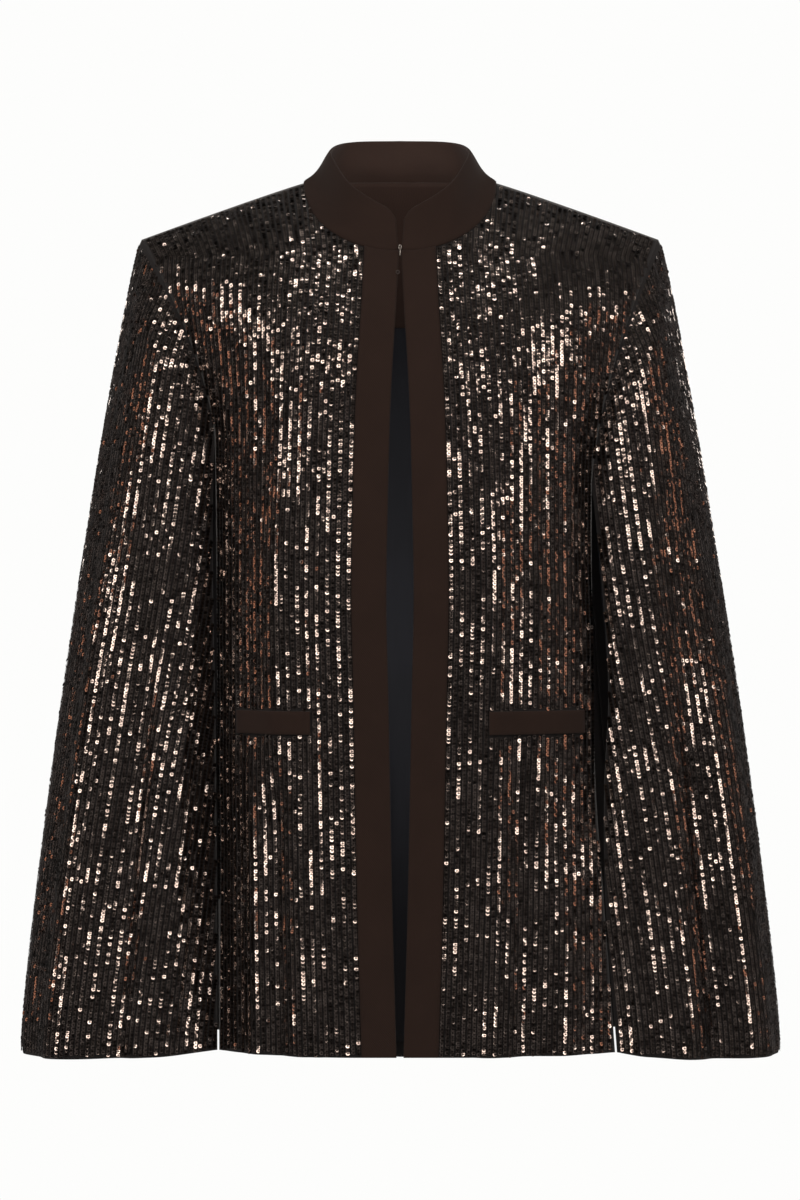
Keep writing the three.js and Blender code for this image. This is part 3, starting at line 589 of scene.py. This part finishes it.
def sequins(name, place, inside, columns, heights, even_below, home, outward, run_length, seed):
    """Strings of sequins over a panel, as one mesh of almost flat six-sided cups.

    place(column, z) is the panel's surface. At each height the distance along the cloth from the
    home column is summed, and the strings lie at even distances of STRING_SPACING; above
    even_below they keep to their columns. Down a string the sequins lie SEQUIN_PITCH apart, each
    leaning one edge out over the next one, and about run_length of them in a row lie alike.
    inside(column, z, from_edge) says where cloth is, from_edge being the distance in from the
    nearer side edge.
    """
    chance = np.random.default_rng(seed)
    grid = place(*np.meshgrid(columns, np.minimum(heights, even_below)))
    step = np.hypot(np.diff(grid[..., 0]), np.diff(grid[..., 1]))
    along = np.pad(step.cumsum(1), ((0, 0), (1, 0)))
    along = along - along[:, [np.argmin(abs(columns - home))]]
    lowest, highest = math.ceil(along.min() / STRING_SPACING), int(along.max() / STRING_SPACING)
    strings = (np.arange(lowest, highest) + 0.5) * STRING_SPACING
    column = np.stack([np.interp(strings, line, columns, -9, 9) for line in along])
    held = np.clip(column, columns[0], columns[-1])
    z = np.broadcast_to(heights[:, None], held.shape)
    from_edge = np.minimum(strings - along[:, :1], along[:, -1:] - strings)
    covered = (column == held) & inside(held, z, from_edge)
    track = place(held, z)
    length = np.linalg.norm(np.diff(track, axis=0), axis=-1) * (covered[1:] & covered[:-1])
    length = np.pad(length.cumsum(0), ((1, 0), (0, 0)))
    spots = [
        np.stack([np.full(len(wanted), k), np.interp(wanted, line, np.arange(len(line)))], -1)
        for k, line in enumerate(length.T)
        for wanted in [np.arange(chance.uniform(0.6, 1.0) * SEQUIN_PITCH, line[-1], SEQUIN_PITCH)]
    ]
    string, row = np.concatenate(spots).T
    string = string.astype(int)
    lower = np.minimum(row.astype(int), len(heights) - 2)
    share = row - lower

    def at(values):
        return values[lower, string] * (1 - share) + values[lower + 1, string] * share

    middle_column, middle_z = at(held), at(z)
    centre = place(middle_column, middle_z)
    down = place(middle_column, middle_z - 0.5) - place(middle_column, middle_z + 0.5)
    across = (place(np.minimum(middle_column + COLUMN_STEP, columns[-1]), middle_z)
              - place(np.maximum(middle_column - COLUMN_STEP, columns[0]), middle_z))
    normal = unit(np.cross(across, down))
    middle = len(normal) // 2
    normal *= np.sign(normal[middle] @ np.array(outward))
    down = unit(down)
    aside = np.cross(normal, down)
    # Each string leans the other way from the one beside it, and lies flat where the cloth faces
    # up. Its twist wanders slowly; runs of sequins lie alike, and a few sit loosely on their stitch.
    waves = chance.normal(0, 1, (3, len(strings)))
    pace = chance.uniform(0.03, 0.13, (3, len(strings)))
    twist = sum(waves[k, string] * np.sin(pace[k, string] * middle_z + 7 * waves[k - 1, string])
                for k in range(3)) * STRING_TWIST
    starts_run = (chance.random(len(string)) < 1 / run_length) | (np.diff(string, prepend=-1) != 0)
    run = np.cumsum(starts_run) - 1
    alike = chance.normal(0, RUN_SCATTER, (2, run[-1] + 1))[:, run]
    upright = np.clip(1 - normal[:, 2], 0, 1)
    scatter = np.where(chance.random(len(string)) < LOOSE_SHARE, LOOSE_SCATTER, SINGLE_SCATTER)
    loose = scatter * (1 + LEVEL_LOOSENESS * (1 - upright))
    single = chance.normal(0, 1, (2, len(string))) * loose
    lean = np.where(string % 2 == 0, SEQUIN_LEAN, UPWARD_LEAN) * upright + alike[0] + single[0]
    roll = twist + alike[1] + single[1]
    facing = unit(normal - down * lean[:, None] + aside * roll[:, None])
    down = unit(down - facing * (down * facing).sum(-1, keepdims=True))
    aside = np.cross(facing, down)
    stand = SEQUIN_STAND + chance.uniform(-STAND_SPREAD, STAND_SPREAD, len(string))
    centre = centre + normal * stand[:, None]
    corner = np.radians(np.arange(0, 360, 60) + 30)
    rim = centre[:, None] + SEQUIN_RADIUS * (
        np.cos(corner)[:, None] * down[:, None] + np.sin(corner)[:, None] * aside[:, None])
    cups = np.concatenate([(centre - facing * SEQUIN_CUP)[:, None], rim], 1)
    fan = np.array([[0, 1 + k, 1 + (k + 1) % 6] for k in range(6)])
    faces = (7 * np.arange(len(cups))[:, None, None] + fan).reshape(-1, 3)
    cell = chance.integers(0, TINTS, (len(cups), 1, 2)) + 0.5
    disc = np.concatenate([[[0, 0]], np.stack([np.cos(corner), np.sin(corner)], -1)]) * CELL_REACH
    spot = ((cell + disc) / TINTS)[:, fan]
    made = mapped_mesh(name, cups, faces, "OFBake", spot, SEQUIN_FILM)
    return made


GROUND_INSIDE = -0.9
GROUND_OUTSIDE = 0.1
neck_columns = np.linspace(math.asin(2 * BAND_TOP / NECK_WIDTH), math.pi / 2, 17)
neck_x = NECK_WIDTH / 2 * np.sin(neck_columns)
front_span = SHOULDER_WIDTH / 2 - neck_x[0]
front_columns = np.concatenate([
    (neck_x - neck_x[0]) / front_span,
    np.linspace((NECK_WIDTH / 2 - neck_x[0]) / front_span, 1, 33)[1:]])
levels = np.concatenate([np.linspace(0, 1, 41) ** ARMHOLE_CROWDING, np.linspace(1, 2, 61)[1:]])
for hand, side in SIDES.items():
    points = front_surface(side, front_columns[None], levels[:, None])
    ground, area = wall(f"front_ground_{hand}", points, (side["sign"], -3, 0),
                        GROUND_INSIDE, GROUND_OUTSIDE, MESH_GROUND)

    def front_place(column, z, side=side):
        return front_surface(side, column, np.maximum(front_level(side, column, z), 0))

    def on_front(column, z, from_edge, side=side):
        welt = side["welt"]
        under_welt = ((column > welt["start"] - WELT_END_MARGIN) & (column < welt["end"] + WELT_END_MARGIN)
                      & (z < WELT_TOP + WELT_MARGIN) & (z > WELT_BOTTOM - WELT_MARGIN))
        return (from_edge > EDGE_MARGIN) & (front_level(side, column, z) > TOP_MARGIN) & ~under_welt

    fitted = sequins(f"front_sequins_{hand}", front_place, on_front, np.linspace(0, 1, 161),
                     np.arange(0, HEM_Z + 1, -0.5), -66, 0, (side["sign"], -3, 0), 4, 11 + side["sign"])
    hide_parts(f"front_{hand}")

# Back: sequinned cloth
# The same sequinned mesh, one piece from the neck and shoulders to the hem, with four soft folds
# that fall from the shoulder blades and finer creases between them.
BACK_EDGE = dict(z=[-221, -400, -560, HEM_Z], x=[158, 168, 182, 196], depth=[74, 78, 86, 94])
BACK_FOLDS = table_rows(FOLD,
    (-0.62, -0.64, -300, -900, 0.12, 7),
    (-0.2, -0.18, -380, -900, 0.12, 5),
    (0.28, 0.3, -340, -900, 0.12, 6),
    (0.7, 0.7, -300, -900, 0.12, 7),
)
BACK_CREASES = table_rows(CREASE,
    (-0.84, -0.82, -240, -900, 0.03, -1.5, 90),
    (-0.5, -0.46, -140, -480, 0.03, 1.5, 80),
    (-0.38, -0.4, -360, -900, 0.025, -1.5, 90),
    (-0.08, -0.04, -420, -900, 0.02, 1.3, 90),
    (0.1, 0.12, -120, -420, 0.03, 1.4, 70),
    (0.44, 0.48, -330, -900, 0.025, -1.6, 90),
    (0.56, 0.54, -160, -500, 0.03, 1.5, 80),
    (0.86, 0.84, -300, -900, 0.03, 1.4, 90),
)


def back_bounds(column):
    """The upper edge's x, y and z and the hem's z at a column from -1 (right) to 1 (left)."""
    top_x = abs(column) * SHOULDER_WIDTH / 2
    hem_z = HEM_Z - BACK_HEM_DROP * (1 - column ** 2) ** 2
    return (top_x, *top_edge(top_x, False), hem_z)


def back_level(column, z):
    """The level of a height at the back's column."""
    _, _, top_z, hem_z = back_bounds(column)
    return level_at(z, top_z, BACK_EDGE["z"][0], hem_z)


def back_surface(column, level, creased=True):
    """The back, from its right side edge (column -1) to its left (1); made as a front is."""
    column, level = np.broadcast_arrays(column, level)
    _, _, top_z, hem_z = back_bounds(column)
    underarm = BACK_EDGE["z"][0]
    z = height_at(level, top_z, underarm, hem_z)
    edge_x = np.where(level < 1, armhole_x(level, BACK_EDGE["x"][0]), read(BACK_EDGE, "z", z, "x"))
    centre = read(BODY_DEPTH, "z", z, "back")
    depth = centre + (read(BACK_EDGE, "z", z, "depth") - centre) * abs(column) ** BACK_FULLNESS
    fold = fold_height(BACK_FOLDS, column, z)
    if creased:
        fold = fold + fold_height(BACK_CREASES, column, z)
    y = drape(abs(column) * SHOULDER_WIDTH / 2, level, z, False, depth, underarm) + fold
    return np.stack([column * edge_x, y, z], -1)


neck_share = NECK_WIDTH / SHOULDER_WIDTH
half_back = np.concatenate([
    neck_share * np.sin(np.linspace(0, math.pi / 2, 21)), np.linspace(neck_share, 1, 33)[1:]])
back_columns = np.concatenate([-half_back[:0:-1], half_back])
ground, area = wall("back_ground", back_surface(back_columns[None], levels[:, None]), (0, 1, 0),
                    GROUND_INSIDE, GROUND_OUTSIDE, MESH_GROUND)


def back_place(column, z):
    return back_surface(column, np.clip(back_level(column, z), 0, 2))


def on_back(column, z, from_edge):
    level = back_level(column, z)
    return (from_edge > EDGE_MARGIN) & (level > TOP_MARGIN) & (level < 1.997)


fitted = sequins("back_sequins", back_place, on_back, np.linspace(-1, 1, 321),
                 np.arange(10, HEM_Z - BACK_HEM_DROP, -0.5), -50, 0, (0, 1, 0), 5, 20)
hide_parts("back")

# Sleeves: sequinned cloth
# Each cape sleeve is cut as a flared panel, set into the armhole and sewn to the back's side edge,
# with its front edge left free. The strings run parallel to its middle line.
SLEEVE_HEM_DROP = 8
SLEEVE_OUTSET = 10.5
SLEEVE_FOLD_FADE = 0.35
SLEEVE_EDGE = 0.3
CAP_FULLNESS = 12
CAP_RISE = 0.06
CAP_FADE = 0.4
SLEEVE_HEM = dict(
    column=[0, 0.11, 0.23, 0.36, 0.46, 0.54, 0.64, 0.78, 0.9, 1],
    x=[150, 188, 236, 284, 308, 313, 302, 262, 222, 196],
    y=[-66, -84, -84, -62, -28, 8, 46, 82, 94, 94],
)
SLEEVE_CREASES = {
    "right": table_rows(SLEEVE_FOLD,
        (0.17, 0.18, 0.05, 0.024, 1.8),
        (0.3, 0.29, 0.1, 0.027, 2.2),
        (0.42, 0.4, 0.3, 0.024, -1.6),
        (0.47, 0.46, 0.5, 0.024, 1.6),
        (0.57, 0.58, 0.35, 0.027, 1.7),
        (0.73, 0.74, 0.15, 0.027, 1.8),
        (0.9, 0.9, 0.4, 0.027, 1.5),
    ),
    "left": table_rows(SLEEVE_FOLD,
        (0.1, 0.1, 0.2, 0.024, 1.6),
        (0.17, 0.16, 0.1, 0.024, -1.6),
        (0.27, 0.25, 0.12, 0.027, 1.9),
        (0.36, 0.35, 0.4, 0.024, 1.6),
        (0.47, 0.48, 0.3, 0.027, 1.6),
        (0.6, 0.6, 0.25, 0.027, -1.6),
        (0.74, 0.73, 0.2, 0.027, 1.8),
    ),
}


def armhole_point(side, column):
    """The armhole at a sleeve's column: the front's side edge up to 0.5, then the back's."""
    level = (2 * abs(column - 0.5)) ** ARMHOLE_CROWDING
    return np.where((column > 0.5)[..., None], back_surface(side["sign"], level, False),
                    front_surface(side, 1.0, level, False))


def sleeve_hem_z(column):
    """The height of a sleeve's hem, which hangs lowest at its outer line."""
    return HEM_Z - SLEEVE_HEM_DROP * np.sin(np.pi * column)


def sleeve_surface(side, column, fall, creases=()):
    """A sleeve: column 0 is its free front edge, 0.5 the outer line, 1 the back seam.

    It runs in straight lines from the armhole (fall 0) to the hem's curve (fall 1), corrected near
    its two edges so that they follow the slit and the back's side edge, pushed out by a low arch on
    the way down, and lifted by its folds along a direction that turns from front to back.
    """
    column, fall = np.broadcast_arrays(column, fall)
    sign, slit = side["sign"], side["slit"]

    def straight(start, end_column):
        end = np.stack([sign * read(SLEEVE_HEM, "column", end_column, "x"),
                        read(SLEEVE_HEM, "column", end_column, "y"), sleeve_hem_z(end_column)], -1)
        return start + (end - start) * fall[..., None]

    point = straight(armhole_point(side, column), column)
    slit_z = slit["z"][0] + (HEM_Z - slit["z"][0]) * fall
    slit_x = read(slit, "z", slit_z, "x") + read(slit, "z", slit_z, "gap")
    front_edge = np.stack([sign * slit_x, -read(slit, "z", slit_z, "depth"), slit_z], -1)
    back_edge = back_surface(sign, 1 + fall, False)
    near_front = np.clip(1 - column / SLEEVE_EDGE, 0, 1)[..., None] ** 2
    near_back = np.clip(1 - (1 - column) / SLEEVE_EDGE, 0, 1)[..., None] ** 2
    point = point + near_front * (front_edge - straight(front_surface(side, 1.0, 1.0, False), 0))
    point = point + near_back * (back_edge - straight(back_surface(sign, 1.0, False), 1))
    full = 0
    for fold in [*side["sleeve_folds"], *creases]:
        centre = fold["column"] + (fold["hem_column"] - fold["column"]) * fall
        ridge = np.exp(-((column - centre) / fold["width"]) ** 2)
        full = full + fold["height"] * ease((fall - fold["start"]) / SLEEVE_FOLD_FADE) * ridge
    cap_run = ease(fall / CAP_RISE) * (1 - ease((fall - CAP_RISE) / CAP_FADE))
    full = full + CAP_FULLNESS * cap_run * np.sin(2 * np.pi * column) ** 2
    arch = np.sqrt(np.sin(np.pi * np.clip(fall, 0, 1)).clip(0))
    outset = SLEEVE_OUTSET * arch * np.sin(np.pi * column) ** 2
    turn = np.pi * (column - 0.5)
    push = np.stack([sign * (outset + full * np.cos(turn)), full * np.sin(turn), 0 * fall], -1)
    return point + push


sleeve_columns = np.linspace(0, 1, 97)
falls = np.linspace(0, 1, 81) ** 1.1
for hand, side in SIDES.items():
    creases = SLEEVE_CREASES[hand]
    points = sleeve_surface(side, sleeve_columns[None], falls[:, None], creases)
    ground, area = wall(f"sleeve_ground_{hand}", points, (side["sign"], 0, 0),
                        GROUND_INSIDE, GROUND_OUTSIDE, MESH_GROUND)

    def sleeve_fall(column, z, side=side):
        start = armhole_point(side, column)[..., 2]
        return (start - z) / (start - sleeve_hem_z(column))

    def sleeve_place(column, z, side=side, creases=creases):
        return sleeve_surface(side, column, np.clip(sleeve_fall(column, z), 0, 1), creases)

    def on_sleeve(column, z, from_edge):
        fall = sleeve_fall(column, z)
        return (from_edge > EDGE_MARGIN) & (fall > 0.004) & (fall < 0.997)

    fitted = sequins(f"sleeve_sequins_{hand}", sleeve_place, on_sleeve, np.linspace(0, 1, 241),
                     np.arange(-47, HEM_Z - SLEEVE_HEM_DROP, -0.5), 0, 0.5,
                     (side["sign"], 0, 0), 8, 31 + side["sign"])
    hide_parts(f"sleeve_{hand}")

# Front bands: brown twill
# A doubled strip of matt wool-blend twill down each front edge, pressed flat, its inner edge a soft
# fold and its outer edge stitched to the sequinned front.
BAND_CLOTH = 2.6
TWILL_RIB = 1.1
EDGE_ROLL = 1.6


def brown_twill():
    """Matt wool-blend twill, pressed: a fine diagonal rib, a soft nap and faint uneven dyeing.

    The rib is drawn 1.1 mm wide, coarser than the real 0.6 mm, so that it can show.
    """
    twill, tree, shader = blank("brown wool twill", Sheen_Weight=0.05, Sheen_Roughness=0.5,
                                Specular_IOR_Level=0.15)
    place = node(tree, "UVMap", uv_map="cloth")
    rib = node(tree, "TexWave", [("Vector", place)], bands_direction="DIAGONAL",
               in_Scale=2 * math.pi / (20 * TWILL_RIB * MM), in_Distortion=1.5, in_Detail=1.0,
               in_Detail_Scale=2.0)
    dye = node(tree, "TexNoise", [("Vector", place)], in_Scale=28.0, in_Detail=4.0)
    nap = node(tree, "TexNoise", [("Vector", place)], in_Scale=900.0, in_Detail=2.0)
    dyed = blend(tree, dye, "221814", "2A1E19")
    ribbed = remap(tree, rib.outputs["Fac"], 0, 1, 0.86, 1.06)
    colour = node(tree, "Mix", [(6, dyed), (7, ribbed)], data_type="RGBA", blend_type="MULTIPLY", in_0=1.0)
    rough = remap(tree, nap, 0, 1, 0.78, 0.92)
    relief = node(tree, "Math", [(0, rib.outputs["Fac"]), (1, nap)], operation="ADD")
    bump = node(tree, "Bump", [("Height", relief)], in_Strength=0.35, in_Distance=0.00012)
    feed(shader, Base_Color=colour.outputs[2], Roughness=rough, Normal=bump)
    return twill


def rolled(distance):
    """A quarter round: 0.15 at the edge, 1 from EDGE_ROLL millimetres in."""
    t = np.clip(distance / EDGE_ROLL, 0, 1)
    return 0.15 + 0.85 * np.sqrt(1 - (1 - t) ** 2)


def crowded(count, reach):
    """Even steps from 0 to 1, with four more close to 0 where the edge rolls over reach."""
    return np.concatenate([reach * np.array([0, 0.12, 0.35, 0.65]), np.linspace(reach, 1, count)])


def crowded_twice(count, reach):
    """Steps from 0 to 1 that are crowded close to both ends."""
    half = crowded(count, reach) / 2
    return np.concatenate([half, 1 - half[-2::-1]])


BROWN_TWILL = brown_twill()
band_columns = -1 + crowded(10, EDGE_ROLL / BAND_WIDTH)
band_levels = np.concatenate([levels[:-1], 2 - 0.004 * np.array([1, 0.65, 0.35, 0.12, 0])])
for hand, side in SIDES.items():
    points = front_surface(side, band_columns[None], band_levels[:, None])
    from_fold = (1 + band_columns[None]) * BAND_WIDTH
    from_hem = (2 - band_levels[:, None]) * abs(HEM_Z - side["slit"]["z"][0])
    half = BAND_CLOTH / 2 * np.minimum(rolled(from_fold), rolled(from_hem))
    band, area = wall(f"front_band_{hand}", points, (0, -1, 0), -half, half, BROWN_TWILL)
    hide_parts(f"band_{hand}")

# Pocket welts: brown twill
# A narrow doubled strip over each pocket mouth, folded along its top and stitched down at its ends.
WELT_CLOTH = 1.8
WELT_BASE = CLOTH / 2 + SEAM
for hand, side in SIDES.items():
    start, end = side["welt"]["start"], side["welt"]["end"]
    both_ends = crowded_twice(12, 0.02)
    columns = start + (end - start) * both_ends
    heights = WELT_TOP + (WELT_BOTTOM - WELT_TOP) * crowded_twice(5, 0.085)
    welt_levels = 1 + (side["slit"]["z"][0] - heights) / (side["slit"]["z"][0] - HEM_Z)
    points = front_surface(side, columns[None], welt_levels[:, None])
    span = np.linalg.norm(points[0, -1] - points[0, 0])
    in_from_end = np.minimum(both_ends, 1 - both_ends)[None] * span
    in_from_edge = np.minimum(WELT_TOP - heights, heights - WELT_BOTTOM)[:, None]
    full = np.minimum(rolled(in_from_end), rolled(in_from_edge))
    welt, area = wall(f"pocket_welt_{hand}", points, (0, -1, 0), WELT_BASE,
                      WELT_BASE + WELT_CLOTH * full, BROWN_TWILL)
    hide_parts(f"welt_{hand}")

# Stand collar: brown twill
# One doubled and interlined band of the same twill, cut on a curve, stitched round the neck and
# standing up from it; its front corners are rounded and meet at the hook.
COLLAR_CLOTH = 2.6
COLLAR_LIFT = 1.3
COLLAR_GAP = 1.7
COLLAR_CORNER = 12
COLLAR_CORNER_DROP = 0.4
COLLAR_FLARE = 1.9
COLLAR_TUCK = 0.07
COLLAR_HOLLOW = 3
COLLAR_HOLLOW_FROM = 25
COLLAR_HOLLOW_RUN = 50
COLLAR_PROUD = 0.5
COLLAR_PROUD_REACH = 12
COLLAR_RIM = dict(
    angle=[0, 20, 42, 66, 90, 130, 180],
    x=[0, 19, 40, 53, 57, 42, 0],
    y=[-72, -67, -50, -20, 6, 42, 56],
    z=[-32, -23, -7, 14, 28, 39, 42],
)


def neck_point(angle):
    """The neck seam: a half ellipse in front and one behind, by degrees from the centre front."""
    turn = np.radians(angle)
    forward = np.cos(turn)
    y = -np.where(forward > 0, NECK_FRONT_DEPTH, NECK_BACK_DEPTH) * forward
    z = np.where(forward > 0, NECK_FRONT_SLOPE * y, -NECK_BACK_RISE * forward)
    return np.stack(np.broadcast_arrays(NECK_WIDTH / 2 * np.sin(turn), y, z), -1)


def collar_surface(angle, up):
    """The collar, by degrees from the centre front (left positive) and up from the neck seam (0, 1).

    It is a ruled surface from the neck seam to the upper edge; the front corners are cut off by a
    quarter circle over COLLAR_CORNER degrees, and the two ends part a little towards the top. At
    the sides and the back it is hollowed above the seam, by up (1 - up) squared, at most 4 / 27.
    """
    angle, up = np.broadcast_arrays(angle, up)
    turn, hand = abs(angle), np.sign(angle)
    foot = neck_point(turn) * np.stack([hand, 0 * hand + 1, 0 * hand + 1], -1)
    rim = np.stack([hand * read(COLLAR_RIM, "angle", turn, "x"),
                    read(COLLAR_RIM, "angle", turn, "y"),
                    read(COLLAR_RIM, "angle", turn, "z")], -1)
    rise = rim - foot
    start = foot + COLLAR_LIFT * rise / np.linalg.norm(rise, axis=-1, keepdims=True)
    from_end = 1 - np.clip(turn / COLLAR_CORNER, 0, 1)
    height = 1 - COLLAR_CORNER_DROP * (1 - np.sqrt(1 - from_end ** 2))
    point = start + (rim - start) * (up * height)[..., None]
    point[..., 0] += hand * COLLAR_FLARE * ease(up) * np.exp(-(turn / COLLAR_CORNER) ** 2)
    depth = COLLAR_HOLLOW * 27 / 4 * np.clip(up, 0, 1) * (1 - up) ** 2
    hollow = depth * ease((turn - COLLAR_HOLLOW_FROM) / COLLAR_HOLLOW_RUN)
    point[..., :2] += unit(rise[..., :2]) * hollow[..., None]
    return point


end_angle = math.degrees(math.asin(2 * COLLAR_GAP / NECK_WIDTH))
half_angles = end_angle + (180 - end_angle) * crowded(70, 0.007)
angles = np.concatenate([half_angles, -half_angles[-2::-1]])
downs = crowded(12, 0.045)
downs[-1] = 0.965
ups = 1 - (1 + COLLAR_TUCK) * np.concatenate([downs, [0.985, 1]])
points = collar_surface(angles[None], ups[:, None])
from_rim = np.linalg.norm(points - points[:1], axis=-1)
from_end = (abs(angles) - end_angle)[None] * math.radians(1) * NECK_WIDTH / 2
from_foot = np.linalg.norm(points - points[-1:], axis=-1)
half = COLLAR_CLOTH / 2 * np.minimum(rolled(from_rim), rolled(from_end))
proud = COLLAR_PROUD * ease(1 - from_foot / COLLAR_PROUD_REACH)
proud = proud - (COLLAR_CLOTH + COLLAR_PROUD) * (1 - rolled(from_foot))
collar, area = wall("stand_collar", points, (0, 1, 0), -half,
                    np.maximum(half + proud, 0.1 - half), BROWN_TWILL)
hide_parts("collar")

# Back neck facing: brown twill
# A shaped single layer inside the back neck, sewn to the collar's foot; its lower edge is turned
# over the lining.
LINING_CLOTH = 1
LINING_INSET = CLOTH / 2 + SEAM
FACING_LEVEL = 0.6 ** ARMHOLE_CROWDING
facing_columns = neck_share * np.sin(np.linspace(-math.pi / 2, math.pi / 2, 41))
points = back_surface(facing_columns[None], np.linspace(0, FACING_LEVEL, 31)[:, None])
facing, area = wall("back_neck_facing", points, (0, 1, 0), -LINING_INSET - LINING_CLOTH,
                    -LINING_INSET, BROWN_TWILL)
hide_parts("neck_facing")

# Linings: blue-black satin
# Smooth polyester satin inside the back, from the neck facing to just above the hem, and inside the
# rear half of each sleeve, where the arm slits show it.
LINING_END = 0.975
BACK_LINING_EDGE = 0.62
SLEEVE_LINING = dict(start=0.6, end=0.95, top=0.089)


def lining_satin():
    """Polyester satin: long floats along the cloth give a smooth blue-black face with a soft streak."""
    satin, tree, shader = blank("blue-black polyester satin", Specular_IOR_Level=0.2)
    place = node(tree, "UVMap", uv_map="cloth")
    drawn = node(tree, "Mapping", [("Vector", place)], in_Scale=(600.0, 25.0, 1.0))
    floats = node(tree, "TexNoise", [("Vector", drawn)], in_Scale=1.0, in_Detail=3.0)
    colour = blend(tree, floats, "141417", "1D1D21")
    rough = remap(tree, floats, 0, 1, 0.5, 0.62)
    bump = node(tree, "Bump", [("Height", floats)], in_Strength=0.2, in_Distance=0.0001)
    feed(shader, Base_Color=colour, Roughness=rough, Normal=bump)
    return satin


LINING_SATIN = lining_satin()
lining_columns = np.linspace(-BACK_LINING_EDGE, BACK_LINING_EDGE, 81)
lining_levels = np.concatenate([
    FACING_LEVEL + np.array([-0.012, -0.002, 0.002, 0.006]), np.linspace(FACING_LEVEL + 0.03, 1, 20),
    np.linspace(1, 1 + LINING_END, 61)[1:]])
points = back_surface(lining_columns[None], lining_levels[:, None])
under_facing = (lining_levels < FACING_LEVEL)[:, None]
inside = np.where(under_facing, -LINING_INSET + 0.05, -LINING_INSET - LINING_CLOTH)
outside = np.where(under_facing, -LINING_INSET + 0.3, -LINING_INSET)
lining, area = wall("back_lining", points, (0, 1, 0), inside, outside, LINING_SATIN)
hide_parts("lining_back")
for hand, side in SIDES.items():
    columns = np.linspace(SLEEVE_LINING["start"], SLEEVE_LINING["end"], 41)
    down = np.linspace(SLEEVE_LINING["top"], LINING_END, 61)
    points = sleeve_surface(side, columns[None], down[:, None], SLEEVE_CREASES[hand])
    lining, area = wall(f"sleeve_lining_{hand}", points, (side["sign"], 2, 0),
                        -LINING_INSET - LINING_CLOTH, -LINING_INSET, LINING_SATIN)
    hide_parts(f"lining_sleeve_{hand}")

# Hook, eye and thread loop
# A nickel-plated steel hook and eye at the collar's foot, bent from round wire, and a worked loop
# of black buttonhole thread on the right band below them.
THREAD_TURN = 0.3


def plated_wire():
    """Bright nickel over drawn steel wire: a mirror with fine scratches along the wire."""
    plate, tree, shader = blank("nickel-plated steel wire", Metallic=1.0)
    place = node(tree, "TexCoord")
    scratch = node(tree, "TexNoise", [("Vector", place.outputs["Object"])], in_Scale=2500.0)
    colour = blend(tree, scratch, "B4B0AA", "D2CFC9")
    rough = remap(tree, scratch, 0, 1, 0.2, 0.4)
    feed(shader, Base_Color=colour, Roughness=rough)
    return plate


def loop_thread():
    """Waxed polyester buttonhole thread, wound close round a core: dull black turns 0.3 mm apart."""
    thread, tree, shader = blank("black buttonhole thread", Roughness=0.7)
    place = node(tree, "TexCoord")
    turns = node(tree, "TexWave", [("Vector", place.outputs["Object"])], bands_direction="DIAGONAL",
                 in_Scale=2 * math.pi / (20 * THREAD_TURN * MM))
    colour = blend(tree, turns.outputs["Fac"], "241F1D", "453C38")
    bump = node(tree, "Bump", [("Height", turns.outputs["Fac"])], in_Strength=0.6, in_Distance=0.00008)
    feed(shader, Base_Color=colour, Normal=bump)
    return thread


PLATED_WIRE = plated_wire()
for name, finish in (("hook", PLATED_WIRE), ("eye", PLATED_WIRE), ("thread_loop", loop_thread())):
    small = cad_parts[name]
    small.data.materials.clear()
    small.data.materials.append(finish)
